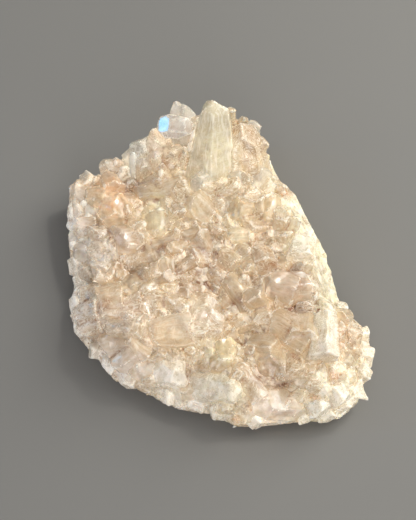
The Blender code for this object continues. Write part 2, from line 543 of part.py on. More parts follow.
def main():
    clear_scene()
    parts = bpy.data.collections.new(OBJECT_NAME)
    pieces = bpy.data.collections.new("grown_pieces")
    bases = bpy.data.collections.new("base")
    for collection in (parts, pieces, bases):
        bpy.context.scene.collection.children.link(collection)
    taken = named_crystals(pieces)
    fill_crystals(pieces, taken)
    rim_lumps(pieces)
    base = body(bases)
    cluster = fused(base, pieces, parts)
    cluster.data.materials.append(quartz_material())
    for obj in list(pieces.objects) + [base]:
        bpy.data.objects.remove(obj, do_unlink=True)


main()
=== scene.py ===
"""Clear quartz cluster: clear and milky crystals grown together on grainy massive quartz.

The crystals are laid out on the display face, the side that is looked at from the front and from
VIEW_ELEVATION above the table. On that face u runs to the right and v runs up, both in millimetres,
and a height is measured from the table. Every shape and size is in these millimetres, and is moved to
the model's own metres when a piece is made. Only the studio's sizes are given in metres.
"""

import functools
import logging
import math
import random
from dataclasses import dataclass, field
from enum import Enum

import bmesh
import bpy
import numpy as np
from mathutils import Matrix, Quaternion, Vector, noise
from mathutils.bvhtree import BVHTree


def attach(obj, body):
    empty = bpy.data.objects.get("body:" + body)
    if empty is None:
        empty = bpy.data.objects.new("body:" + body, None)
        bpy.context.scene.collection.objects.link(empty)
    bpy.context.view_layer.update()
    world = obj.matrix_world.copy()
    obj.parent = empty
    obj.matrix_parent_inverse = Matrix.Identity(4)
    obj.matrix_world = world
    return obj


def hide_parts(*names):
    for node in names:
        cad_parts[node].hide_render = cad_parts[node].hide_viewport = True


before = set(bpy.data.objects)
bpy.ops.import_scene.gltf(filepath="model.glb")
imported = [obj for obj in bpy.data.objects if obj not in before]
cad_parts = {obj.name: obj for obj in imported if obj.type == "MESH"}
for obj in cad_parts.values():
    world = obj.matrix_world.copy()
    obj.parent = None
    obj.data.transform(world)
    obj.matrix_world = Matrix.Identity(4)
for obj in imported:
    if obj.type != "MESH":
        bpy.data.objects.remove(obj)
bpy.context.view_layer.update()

logging.basicConfig(level=logging.INFO, format="%(message)s")
LOG = logging.getLogger("quartz")

# Types that many hints name.
Span = tuple[float, float]
Triple = tuple[float, float, float]
Rgba = tuple[float, float, float, float]
Colour = tuple[int, int, int]  # red, green and blue, 0 to 255
Faces = list[tuple[int, ...]]  # the point numbers of each face
Discs = list[tuple[Vector, float]]  # places in plan and the radii kept free round them
Socket = bpy.types.NodeSocket
Tree = bpy.types.ShaderNodeTree

MM = 0.001
NODE = "quartz_cluster"
BODY = "root"

# The display face.
VIEW_ELEVATION = math.radians(65.0)
FACE_RIGHT = Vector((1.0, 0.0, 0.0))
FACE_UP = Vector((0.0, math.sin(VIEW_ELEVATION), math.cos(VIEW_ELEVATION)))
FACE_OUT = Vector((0.0, -math.cos(VIEW_ELEVATION), math.sin(VIEW_ELEVATION)))
BOX_MIDDLE = (0.6334, -10.0109)  # middle of the solid's box, which lies at the model's origin
FLANK_LEFT = 20.0  # the smooth right flank lies beyond this u
FLANK_SPAN = (-17.0, 40.0)  # and between these v

# Quartz geometry that all crystals share.
LOWEST_ROOT = 0.8  # no crystal or lump comes nearer to the table than this
LOWEST_POINT = 0.05  # and no point of a surface that has grown together
SMALL_WIDTH = 8.0  # a narrower crystal ends in three faces
FLOOR_STEPS = 0.3  # height of the steps of the floor under the crystals
BURIED = 0.7  # how deep a root goes on into the ground, in widths
BLANK = 3.0  # width of the block that a crystal is cut from, in widths
LARGE_END_FACE = (-0.02, 0.10)  # how far back from the tip an end face cuts, in widths
SMALL_END_FACE = (-0.22, -0.04)
LINE_KINDS = 7.3  # how many times the strength of its lines changes over the crystals' own numbers
NEXT_OWN = 0.618  # step between the own numbers of crystals made one after the other

# How a spot of another colour fades with the distance from its middle.
SPOT_FADE = 0.8
SPOT_EDGE = 1.5


class Clarity(Enum):
    """How much of the light goes through a crystal."""

    GLASSY = "glassy"
    FLASH = "flash"
    STRIATED = "striated"
    CLEAR = "clear"
    MILKY = "milky"
    WHITE = "white"


GLASSY, FLASH, STRIATED, CLEAR, MILKY, WHITE = Clarity


@dataclass(frozen=True)
class Habit:
    """The way a crystal ends.

    end_slope is the slope of its end faces in degrees, end_faces their number, least_side and
    most_side the distance of a side face from the axis as a share of half the width, and taper its
    slope along the crystal in degrees.
    """

    end_slope: float
    end_faces: int
    least_side: float
    most_side: float
    taper: float


POINT = Habit(52.0, 6, 0.90, 1.04, 2.5)
SLENDER = Habit(56.0, 6, 0.90, 1.04, 4.5)
TAPERED = Habit(48.0, 6, 0.88, 1.04, 10.0)
SHARP = Habit(66.0, 6, 0.90, 1.04, 3.0)
BLUNT = Habit(33.0, 6, 0.84, 1.06, 4.0)
BLOCK = Habit(24.0, 3, 0.66, 1.08, 5.0)

# The rim, as (u, v) from the upper left corner round to the right.
RIM = (
    (-60.0, 32.0), (-50.0, 35.5), (-38.0, 39.0), (-26.0, 46.0), (-14.0, 52.0), (0.0, 55.0),
    (10.0, 54.0), (18.0, 50.0), (21.0, 42.0), (25.0, 34.0), (31.0, 28.5), (37.0, 16.5),
    (43.5, 4.0), (47.0, -10.0), (49.5, -17.5), (57.0, -24.5), (60.5, -32.0), (60.5, -41.0),
    (57.0, -48.0), (55.5, -54.5), (48.0, -60.5), (40.0, -61.5), (30.0, -62.0), (18.0, -63.5),
    (7.0, -63.5), (-3.0, -58.5), (-16.0, -57.0), (-30.0, -50.0), (-41.0, -45.5), (-48.0, -37.0),
    (-56.0, -28.5), (-59.0, -20.0), (-58.0, -13.0), (-55.0, -9.0), (-58.5, -2.0), (-60.0, 8.0),
    (-60.0, 20.0),
)

# Mounds and hollows of the body, as (u, v, radius, height).
RELIEF = (
    (-2.0, 42.0, 20.0, 5.0), (-28.0, 42.0, 13.0, 4.0), (30.0, 5.0, 14.0, 2.0),
    (-34.0, -22.0, 14.0, 4.0), (-53.0, -18.0, 10.0, 3.5), (28.0, -9.0, 12.0, 3.5),
    (28.0, -26.0, 13.0, 2.0), (42.0, -27.0, 8.0, 4.0), (4.0, -49.0, 10.0, 3.0),
    (-20.0, -46.0, 9.0, 3.0), (22.0, -56.0, 10.0, 3.0), (52.0, -50.0, 10.0, 3.0),
    (-35.0, 32.5, 7.0, -5.0), (-37.0, -1.5, 5.0, -6.0), (-5.0, -9.5, 9.0, -4.5),
    (31.0, -16.5, 7.0, -4.5), (22.0, -46.0, 8.0, -7.5), (-10.0, -39.0, 7.0, -5.0),
    (10.0, -30.0, 6.0, -4.0), (29.0, -2.5, 5.0, -3.5), (-50.0, 17.0, 6.0, -3.5),
    (-27.0, 5.0, 5.0, -3.0), (8.0, 7.0, 5.0, -2.0), (2.0, 21.0, 4.0, -2.5),
)

# Crystals that stand up at the rear, each as (tip u, tip v, rise, root u, root v, width, flatness,
# roll in degrees, habit, clarity). The tip stands above the body at its root by the rise.
STANDING = (
    (-1.0, 66.3, 25.0, -2.5, 43.0, 20.0, 0.8, 4, TAPERED, STRIATED),
    (-3.9, 65.4, 24.5, -6.0, 44.0, 9.0, 0.85, 10, TAPERED, STRIATED),
    (2.2, 64.4, 23.0, 1.0, 44.0, 8.0, 0.85, 22, TAPERED, STRIATED),
    (-8.6, 57.4, 18.5, -12.4, 42.0, 3.6, 0.8, 8, SLENDER, WHITE),
    (-17.0, 65.9, 24.0, -14.5, 50.0, 8.0, 0.9, 20, SHARP, GLASSY),
    (-14.4, 65.0, 23.4, -11.8, 50.0, 10.0, 0.85, 5, SHARP, GLASSY),
    (-18.6, 58.2, 16.0, -14.5, 49.0, 15.5, 0.9, 28, BLUNT, FLASH),
    (9.6, 56.8, 13.5, 10.4, 44.0, 18.0, 0.8, 36, TAPERED, MILKY),
    (5.0, 62.6, 20.0, 4.6, 51.0, 6.5, 0.85, 0, BLUNT, CLEAR),
    (4.8, 51.0, 10.5, 4.0, 42.0, 10.0, 0.75, 0, BLUNT, WHITE),
    (-7.0, 50.0, 9.0, -8.0, 42.0, 8.0, 0.75, 12, BLUNT, CLEAR),
    (10.4, 59.2, 16.0, 10.0, 51.0, 5.0, 0.9, 25, POINT, CLEAR),
    (15.0, 56.8, 13.0, 12.5, 49.0, 8.0, 0.75, 20, BLUNT, GLASSY),
    (18.8, 50.5, 8.0, 15.0, 44.0, 8.0, 0.85, 12, BLOCK, MILKY),
    (-8.8, 58.8, 15.0, -8.5, 50.0, 7.5, 0.85, 30, BLUNT, CLEAR),
    (-14.0, 47.5, 7.0, -12.5, 41.0, 7.0, 0.8, 15, POINT, CLEAR),
    (-26.4, 54.6, 13.0, -22.5, 45.0, 11.0, 0.85, 8, SLENDER, CLEAR),
    (-18.5, 48.0, 7.0, -18.0, 42.0, 8.0, 0.8, 12, BLUNT, CLEAR),
    (-31.8, 51.0, 10.5, -29.0, 42.5, 14.0, 0.88, 16, BLUNT, STRIATED),
    (-25.5, 45.5, 8.0, -24.0, 39.0, 7.5, 0.85, 4, BLUNT, CLEAR),
    (-29.5, 43.0, 6.5, -29.0, 38.5, 9.0, 0.85, 22, BLUNT, CLEAR),
    (-37.8, 45.4, 7.0, -35.0, 40.0, 6.0, 0.85, 22, BLUNT, STRIATED),
    (-34.6, 45.5, 7.0, -33.6, 36.0, 3.6, 0.9, 10, POINT, GLASSY),
)

# Crystals that lie or lean on the body. Here the rise is how far the tip stands above the body that
# lies under it.
LEFT_SIDE = (
    (-48.5, 39.4, 4.0, -39.0, 38.5, 8.5, 0.8, 30, BLUNT, CLEAR),
    (-43.0, 41.6, 4.0, -39.5, 38.0, 7.0, 0.8, 8, BLOCK, MILKY),
    (-59.2, 31.6, 4.0, -55.5, 29.5, 9.5, 0.85, 12, BLOCK, MILKY),
    (-52.5, 34.2, 4.0, -50.0, 32.0, 8.0, 0.85, 5, BLOCK, MILKY),
    (-45.0, 35.6, 3.0, -43.0, 33.0, 9.0, 0.8, 20, BLOCK, MILKY),
    (-49.5, 26.0, 4.5, -47.8, 26.0, 9.0, 0.82, 16, BLUNT, CLEAR),
    (-45.5, 17.2, 5.0, -43.0, 19.5, 10.5, 0.9, 4, BLUNT, CLEAR),
    (-42.0, 25.5, 2.5, -40.0, 25.0, 9.0, 0.9, 10, BLOCK, MILKY),
    (-36.5, 25.0, 2.5, -35.5, 24.0, 7.0, 0.9, 10, BLOCK, MILKY),
    (-58.2, 22.0, 5.0, -56.0, 21.5, 8.5, 0.85, 12, BLOCK, MILKY),
    (-57.0, 13.5, 4.5, -55.0, 13.5, 8.5, 0.85, 26, BLUNT, MILKY),
    (-57.0, 5.0, 5.0, -55.0, 4.5, 9.5, 0.85, 8, BLUNT, CLEAR),
    (-50.2, 5.0, 4.0, -49.0, 5.5, 8.0, 0.95, 14, BLUNT, CLEAR),
    (-51.5, 12.0, 2.5, -50.0, 12.0, 8.0, 0.8, 20, BLOCK, MILKY),
    (-42.5, 8.5, 3.0, -40.0, 8.5, 12.5, 0.72, 24, BLOCK, MILKY),
    (-56.0, -3.5, 4.5, -53.0, -3.0, 9.0, 0.85, 18, BLOCK, MILKY),
    (-48.0, -3.5, 3.5, -46.5, -2.5, 9.0, 0.8, 6, BLOCK, MILKY),
    (-35.5, -3.0, 4.0, -34.5, -1.5, 5.4, 0.9, 10, BLUNT, CLEAR),
    (-29.6, -5.0, 4.0, -28.8, -4.0, 6.4, 0.95, 22, BLUNT, CLEAR),
    (-24.8, -5.0, 3.5, -24.5, -3.0, 5.0, 0.8, 0, BLOCK, MILKY),
    (-23.8, 23.5, 4.0, -23.2, 18.0, 7.0, 0.6, 6, POINT, GLASSY),
    (-28.8, 9.2, 3.5, -30.4, 14.0, 3.2, 0.8, 10, POINT, GLASSY),
    (-33.5, 12.0, 3.0, -34.0, 14.0, 6.0, 0.85, 15, BLUNT, CLEAR),
    (-24.0, 10.8, 3.5, -25.0, 15.0, 6.6, 0.8, 18, BLUNT, CLEAR),
    (-18.5, 13.6, 3.5, -19.2, 16.5, 6.4, 0.85, 4, BLUNT, CLEAR),
    (-30.5, 21.5, 2.5, -30.0, 21.0, 7.5, 0.85, 22, BLUNT, CLEAR),
    (-21.0, 3.5, 3.5, -20.6, -1.0, 6.4, 0.85, 12, BLUNT, CLEAR),
    (-37.2, -10.8, 4.5, -36.0, -10.5, 12.5, 0.68, 20, BLUNT, CLEAR),
    (-20.6, -10.4, 3.5, -20.0, -9.6, 5.6, 0.85, 10, BLUNT, CLEAR),
)

LOWER_LEFT = (
    (-56.5, -13.5, 5.5, -52.5, -13.0, 10.0, 0.8, 12, BLOCK, MILKY),
    (-57.5, -20.8, 5.5, -53.5, -19.5, 12.0, 0.85, 24, BLOCK, MILKY),
    (-55.5, -27.0, 5.0, -52.0, -25.0, 9.5, 0.85, 6, BLOCK, MILKY),
    (-48.0, -14.0, 3.0, -45.0, -13.5, 9.0, 0.8, 6, BLOCK, MILKY),
    (-46.5, -18.8, 2.5, -34.0, -18.5, 9.0, 0.75, 16, BLOCK, MILKY),
    (-45.0, -25.0, 2.0, -35.0, -24.5, 9.5, 0.8, 8, BLUNT, CLEAR),
    (-28.0, -27.5, 2.0, -20.0, -26.5, 12.0, 0.66, 4, BLOCK, MILKY),
    (-47.0, -33.0, 4.0, -42.5, -31.5, 13.0, 0.8, 14, BLOCK, MILKY),
    (-42.5, -41.0, 4.5, -38.5, -38.5, 12.5, 0.8, 28, BLOCK, MILKY),
    (-35.0, -44.5, 4.5, -32.0, -42.0, 12.0, 0.88, 8, BLUNT, CLEAR),
    (-27.5, -47.0, 4.0, -26.0, -45.0, 7.5, 0.88, 8, BLOCK, MILKY),
    (-25.0, -38.5, 3.0, -23.5, -36.5, 8.0, 0.8, 18, BLUNT, CLEAR),
    (-19.5, -47.5, 6.5, -18.8, -44.0, 14.0, 0.88, 22, BLUNT, WHITE),
    (-12.0, -52.8, 4.5, -11.0, -50.0, 9.0, 0.85, 12, BLOCK, MILKY),
    (-15.0, -30.0, 3.5, -7.5, -19.0, 8.5, 0.75, 8, POINT, CLEAR),
    (-18.0, -23.0, 3.5, -11.0, -17.0, 6.5, 0.8, 26, POINT, CLEAR),
    (-8.0, -26.0, 3.5, -4.5, -18.5, 7.5, 0.8, 14, BLUNT, CLEAR),
    (-8.5, -13.2, 4.0, -4.0, -14.8, 6.0, 0.8, 4, BLUNT, CLEAR),
    (-3.5, -29.0, 3.0, -2.8, -26.5, 9.0, 0.85, 10, BLOCK, MILKY),
    (-11.0, -41.0, 3.5, -9.8, -38.5, 6.0, 0.85, 18, POINT, CLEAR),
    (-30.0, -15.5, 2.5, -26.5, -14.8, 7.5, 0.75, 0, BLOCK, MILKY),
    (-21.0, -16.0, 2.5, -19.0, -15.8, 6.5, 0.75, 10, BLOCK, MILKY),
)

CENTRE = (
    (3.2, 11.4, 3.5, 8.5, 11.6, 5.4, 0.8, 10, BLUNT, CLEAR),
    (10.0, 14.8, 3.5, 13.5, 15.4, 6.2, 0.75, 24, BLUNT, CLEAR),
    (10.0, 24.0, 3.5, 9.7, 22.5, 10.0, 0.85, 12, BLUNT, CLEAR),
    (9.5, 18.5, 2.5, 9.5, 18.0, 8.0, 0.85, 22, BLOCK, MILKY),
    (16.8, 27.5, 3.0, 16.8, 23.0, 7.5, 0.8, 28, BLOCK, MILKY),
    (22.0, 28.5, 3.5, 21.6, 22.0, 7.5, 0.8, 38, BLUNT, CLEAR),
    (27.0, 22.0, 3.0, 27.4, 19.0, 8.0, 0.85, 42, BLOCK, MILKY),
    (21.0, 11.0, 3.5, 21.5, 9.0, 9.5, 0.85, 18, BLUNT, CLEAR),
    (16.2, 5.5, 3.0, 17.0, 3.5, 8.0, 0.85, 6, BLOCK, MILKY),
    (26.2, 4.5, 3.0, 27.0, 3.0, 7.5, 0.85, 22, BLUNT, CLEAR),
    (8.2, 5.0, 3.5, 9.2, 3.5, 8.5, 0.85, 12, BLOCK, MILKY),
    (13.0, -3.6, 4.0, 12.5, -1.5, 5.6, 0.8, 14, BLUNT, CLEAR),
    (2.6, -5.2, 4.5, 11.0, -14.5, 8.0, 0.8, 20, BLOCK, MILKY),
    (-2.8, -5.2, 4.5, -0.5, -4.6, 7.0, 0.8, 8, BLOCK, MILKY),
    (0.0, 4.8, 3.0, 2.5, 2.5, 6.5, 0.8, 12, BLUNT, CLEAR),
    (-9.0, 13.5, 2.5, -8.2, 11.5, 8.5, 0.85, 4, BLOCK, MILKY),
    (-13.0, 4.0, 2.5, -10.0, 3.2, 8.5, 0.75, 18, BLOCK, MILKY),
    (-12.5, 26.5, 2.5, -11.0, 25.0, 11.0, 0.75, 10, BLOCK, MILKY),
    (-4.0, 22.5, 2.0, -3.5, 22.0, 8.0, 0.8, 24, BLOCK, MILKY),
    (-17.0, 33.0, 2.5, -16.0, 31.0, 8.0, 0.8, 14, BLOCK, MILKY),
    (-7.0, 39.0, 5.0, -6.5, 35.5, 9.5, 0.8, 4, BLUNT, GLASSY),
    (17.0, -6.2, 3.5, 21.8, -8.0, 11.5, 0.8, 44, BLUNT, CLEAR),
    (38.0, -8.0, 3.5, 31.0, -8.8, 12.5, 0.78, 10, BLOCK, MILKY),
    (34.0, 11.0, 4.0, 33.5, 7.5, 12.0, 0.8, 16, BLOCK, WHITE),
    (29.5, 7.4, 3.5, 31.5, 5.8, 7.5, 0.8, 4, BLUNT, CLEAR),
    (37.0, 2.0, 4.0, 35.5, 0.0, 8.5, 0.8, 26, BLOCK, MILKY),
    (1.0, 35.5, 3.0, 0.8, 32.5, 6.5, 0.85, 10, BLUNT, CLEAR),
    (9.0, 38.0, 5.0, 8.5, 35.0, 8.0, 0.8, 20, BLUNT, GLASSY),
    (19.0, 40.0, 6.0, 17.0, 36.0, 9.0, 0.85, 18, BLUNT, GLASSY),
    (21.5, 34.0, 3.5, 20.0, 31.5, 7.0, 0.8, 3, BLUNT, CLEAR),
)

LOWER_RIGHT = (
    (42.3, -18.5, 3.0, 41.8, -29.0, 11.5, 0.78, 12, BLOCK, WHITE),
    (7.4, -19.0, 3.5, 8.4, -20.8, 7.6, 0.85, 8, BLUNT, CLEAR),
    (12.8, -24.4, 3.5, 13.0, -22.8, 7.2, 0.9, 20, BLUNT, CLEAR),
    (20.0, -22.0, 2.5, 28.0, -26.4, 11.5, 0.7, 4, BLOCK, MILKY),
    (33.5, -21.0, 3.0, 33.2, -25.0, 10.5, 0.75, 20, BLOCK, MILKY),
    (15.6, -38.6, 4.0, 20.0, -37.6, 12.0, 0.88, 14, BLUNT, CLEAR),
    (40.4, -39.6, 3.5, 35.0, -34.0, 8.2, 0.8, 10, BLUNT, CLEAR),
    (31.0, -44.5, 3.5, 30.6, -42.0, 9.0, 0.8, 24, BLOCK, MILKY),
    (-1.2, -34.2, 3.5, -0.2, -35.4, 7.6, 0.9, 6, BLUNT, CLEAR),
    (4.0, -37.0, 3.5, 3.7, -35.6, 7.0, 0.9, 16, BLUNT, CLEAR),
    (1.0, -42.0, 3.0, 1.4, -41.0, 11.0, 0.85, 22, BLOCK, MILKY),
    (13.0, -53.5, 5.5, 24.0, -54.5, 15.0, 0.9, 18, BLUNT, CLEAR),
    (29.5, -57.0, 5.5, 28.0, -55.5, 13.0, 0.85, 6, BLOCK, MILKY),
    (9.0, -49.8, 5.0, -3.5, -48.4, 12.0, 0.88, 8, BLUNT, WHITE),
    (3.0, -60.0, 4.5, 3.4, -56.0, 9.0, 0.85, 12, BLOCK, MILKY),
    (11.2, -63.0, 4.0, 10.8, -59.0, 9.0, 0.85, 4, BLUNT, CLEAR),
    (21.5, -62.5, 3.0, 20.5, -60.0, 9.0, 0.8, 20, BLOCK, MILKY),
    (32.5, -54.0, 3.5, 33.0, -52.2, 8.0, 0.85, 28, BLUNT, CLEAR),
    (41.0, -60.5, 4.5, 40.0, -57.0, 10.5, 0.85, 10, BLOCK, WHITE),
    (50.0, -55.5, 4.5, 47.8, -52.5, 11.5, 0.85, 16, BLOCK, WHITE),
    (56.5, -37.5, 4.0, 54.5, -36.5, 9.5, 0.85, 30, BLUNT, CLEAR),
    (56.8, -28.0, 4.0, 54.0, -28.6, 8.0, 0.8, 22, BLUNT, CLEAR),
    (51.5, -19.8, 3.5, 49.0, -21.4, 8.0, 0.85, 6, BLUNT, CLEAR),
    (50.5, -31.0, 3.0, 49.2, -32.4, 8.5, 0.8, 12, BLUNT, CLEAR),
    (48.0, -43.5, 3.5, 46.5, -43.0, 11.0, 0.85, 26, BLOCK, MILKY),
    (55.5, -47.0, 4.0, 53.0, -46.0, 9.0, 0.85, 16, BLUNT, MILKY),
    (38.5, -49.0, 3.0, 38.0, -48.0, 9.0, 0.85, 20, BLOCK, MILKY),
)

ZONES = {
    "rear_points": STANDING,
    "left_crystals": LEFT_SIDE,
    "lower_left_crystals": LOWER_LEFT,
    "centre_crystals": CENTRE,
    "lower_right_crystals": LOWER_RIGHT,
}

# Where the quartz takes on another colour, as (u, v, half width, half height, strength). Some of these
# spots paint light and shade, as noted at each list.
# Cream spots are partly the cream colour of the quartz at the right and lower rims, and partly painted
# light: a paler tone that stands in for light shining through the thin rims and brightens places that the
# lamps leave dim.
CREAM = (
    (22.0, 42.0, 5.0, 9.0, 0.8), (31.0, 25.0, 5.0, 10.0, 0.8), (39.0, 10.0, 5.0, 12.0, 0.8),
    (45.0, -6.0, 5.0, 11.0, 1.0), (33.0, 8.0, 8.0, 8.0, 0.9), (58.0, -31.0, 7.0, 12.0, 0.4),
    (51.0, -51.0, 13.0, 12.0, 1.0), (38.0, -60.0, 12.0, 7.0, 0.9), (42.0, -24.0, 6.0, 10.0, 0.6),
    (0.0, 26.0, 18.0, 12.0, 0.35), (28.0, 20.0, 8.0, 10.0, 0.3), (21.0, -56.0, 12.0, 7.0, 0.5),
    (3.0, 46.0, 7.0, 7.0, 1.0), (-8.0, -24.0, 8.0, 9.0, 0.6), (2.0, -34.0, 6.0, 5.0, 0.8),
    (-20.0, -46.0, 8.0, 7.0, 0.6), (20.0, 26.0, 7.0, 7.0, 0.3), (2.0, -50.0, 11.0, 6.0, 0.8),
    (-20.0, -55.0, 10.0, 4.0, 0.6), (3.0, -58.0, 10.0, 5.0, 0.6), (-24.0, 22.0, 6.0, 7.0, 0.7),
    (8.0, 12.0, 4.0, 16.0, 0.5), (34.0, -56.0, 9.0, 5.0, 0.8),
)
# Cool spots are partly the pale grey of the left and lower rims, and partly painted light: a paler, cooler
# tone that stands in for light shining through the quartz on the side away from the key lamp.
COOL = (
    (-58.0, 16.0, 6.0, 16.0, 0.9), (-57.0, -20.0, 8.0, 12.0, 0.9), (-42.0, -40.0, 10.0, 8.0, 0.8),
    (-17.0, 57.0, 8.0, 8.0, 0.7), (-44.0, 40.0, 9.0, 5.0, 0.3), (-31.0, 45.0, 8.0, 6.0, 0.9),
    (-38.0, -22.0, 12.0, 9.0, 0.4), (-50.0, 2.0, 7.0, 8.0, 0.6), (28.0, -8.0, 12.0, 5.0, 0.4),
    (-14.0, -56.0, 12.0, 4.0, 0.6), (-20.0, -47.0, 9.0, 6.0, 0.5), (21.0, -57.0, 12.0, 6.0, 0.9),
    (-42.0, 8.0, 10.0, 8.0, 0.4), (-9.0, -22.0, 8.0, 8.0, 0.5), (47.0, -52.0, 12.0, 9.0, 0.3),
    (-30.0, -42.0, 12.0, 7.0, 0.5),
)
IRON = (
    (-42.0, 27.5, 6.5, 7.0, 1.0), (-49.0, 33.0, 5.0, 3.0, 0.6), (-35.0, 22.0, 6.0, 5.0, 0.25),
    (28.0, 29.0, 2.5, 2.5, 0.7), (11.5, 49.0, 5.0, 8.0, 0.15), (50.0, -28.0, 4.0, 4.0, 0.5),
    (46.0, -44.0, 2.5, 2.5, 0.7), (38.0, -52.0, 2.0, 1.6, 0.6), (7.0, -61.0, 2.0, 1.6, 0.6),
    (-3.0, -51.0, 2.0, 1.6, 0.6), (18.0, 12.0, 6.0, 8.0, 0.2),
)
# Earthy spots are partly iron-brown staining and partly painted shade, darkening recesses and faces that
# lie in shade.
EARTH_AND_SHADE = (
    (-35.0, 32.5, 6.0, 3.0, 1.0), (-21.0, 40.0, 2.5, 3.0, 0.6), (-50.0, 17.0, 4.0, 3.0, 0.4),
    (-18.0, 22.0, 3.0, 2.5, 0.6), (-18.0, -3.0, 3.5, 3.0, 0.7), (-36.5, -1.0, 5.0, 4.5, 0.6),
    (-44.0, -16.0, 3.5, 2.5, 0.8), (-6.0, -9.5, 8.0, 3.0, 0.6), (8.0, -15.5, 3.5, 2.5, 0.9),
    (13.5, -5.5, 2.5, 2.0, 0.6), (29.0, -3.0, 5.0, 2.5, 0.9), (31.0, -17.0, 7.0, 3.0, 0.7),
    (12.0, -37.0, 2.5, 4.0, 0.6), (20.0, -45.0, 8.0, 6.0, 1.0), (22.0, 11.0, 8.0, 7.0, 0.35),
    (-12.5, -43.0, 3.0, 4.5, 0.6), (-52.0, -8.0, 4.0, 3.0, 0.2), (27.0, -25.0, 11.0, 8.0, 0.2),
    (-43.0, 39.0, 8.0, 4.0, 0.4), (-4.0, 8.0, 11.0, 9.0, 0.35), (41.0, -35.0, 2.5, 5.0, 0.7),
    (-24.0, 1.0, 7.0, 5.0, 0.4), (-41.0, 9.0, 7.0, 5.0, 0.8), (-52.0, -34.0, 6.0, 5.0, 0.4),
    (-33.0, -18.0, 6.0, 5.0, 0.4), (-13.0, -10.0, 6.0, 4.0, 0.4), (11.5, 51.0, 8.0, 7.5, 0.3),
    (55.0, -31.0, 7.0, 11.0, 0.4), (28.0, -8.0, 14.0, 6.0, 0.55), (2.0, 26.0, 14.0, 10.0, 0.2),
    (-23.0, -27.0, 8.0, 7.0, 0.1), (-40.0, -24.0, 12.0, 8.0, 0.25), (-2.0, -22.0, 6.0, 8.0, 0.45),
    (-4.0, 0.0, 10.0, 10.0, 0.5), (20.0, 0.0, 7.0, 8.0, 0.4), (8.0, 24.0, 12.0, 6.0, 0.1),
    (-16.0, 56.0, 8.0, 8.0, 0.3), (20.0, 33.0, 9.0, 8.0, 0.25), (42.0, -26.0, 6.0, 9.0, 0.25),
)


def srgb(red: int, green: int, blue: int) -> Rgba:
    """A linear colour from 8-bit values.

    Args:
        red, green, blue: 0 to 255.

    Returns:
        The colour with full alpha.
    """
    values = [value / 255.0 for value in (red, green, blue)]
    linear = [v / 12.92 if v <= 0.04045 else ((v + 0.055) / 1.055) ** 2.4 for v in values]
    return (*linear, 1.0)


def seen(u: float, v: float, height: float) -> Vector:
    """The place that shows at (u, v) on the display face and has this height."""
    return Vector((u, (v - height * math.cos(VIEW_ELEVATION)) / math.sin(VIEW_ELEVATION), height))


def shown(points: np.ndarray) -> tuple[np.ndarray, np.ndarray]:
    """Where points show on the display face.

    Args:
        points: rows of x, y, z.

    Returns:
        The arrays u and v.
    """
    v = points[:, 1] * math.sin(VIEW_ELEVATION) + points[:, 2] * math.cos(VIEW_ELEVATION)
    return points[:, 0], v


def on_flank(points: np.ndarray) -> np.ndarray:
    """Whether each point lies on the smooth right flank.

    Args:
        points: rows of x, y, z.

    Returns:
        True for each point that does.
    """
    u, v = shown(points)
    return (u > FLANK_LEFT) & (v > FLANK_SPAN[0]) & (v < FLANK_SPAN[1])


def tones(points: np.ndarray) -> np.ndarray:
    """How much of each other colour the quartz has at each point.

    Args:
        points: rows of x, y, z.

    Returns:
        Rows of cream, cool, iron and earthy brown, each 0 to 1. The cream and cool are partly painted
        light, and the earthy brown is partly painted shade.
    """
    u, v = shown(points)
    columns = []
    for spots in (CREAM, COOL, IRON, EARTH_AND_SHADE):
        clean = np.ones(len(points))
        for spot_u, spot_v, wide, high, strength in spots:
            distance = ((u - spot_u) / wide) ** 2 + ((v - spot_v) / high) ** 2
            clean *= 1.0 - strength * np.exp(-SPOT_FADE * distance**SPOT_EDGE)
        columns.append(1.0 - clean)
    return np.stack(columns, axis=1)


def smooth(t: np.ndarray) -> np.ndarray:
    """0 to 1 with level ends, for t from 0 to 1."""
    t = np.clip(t, 0.0, 1.0)
    return t * t * (3.0 - 2.0 * t)


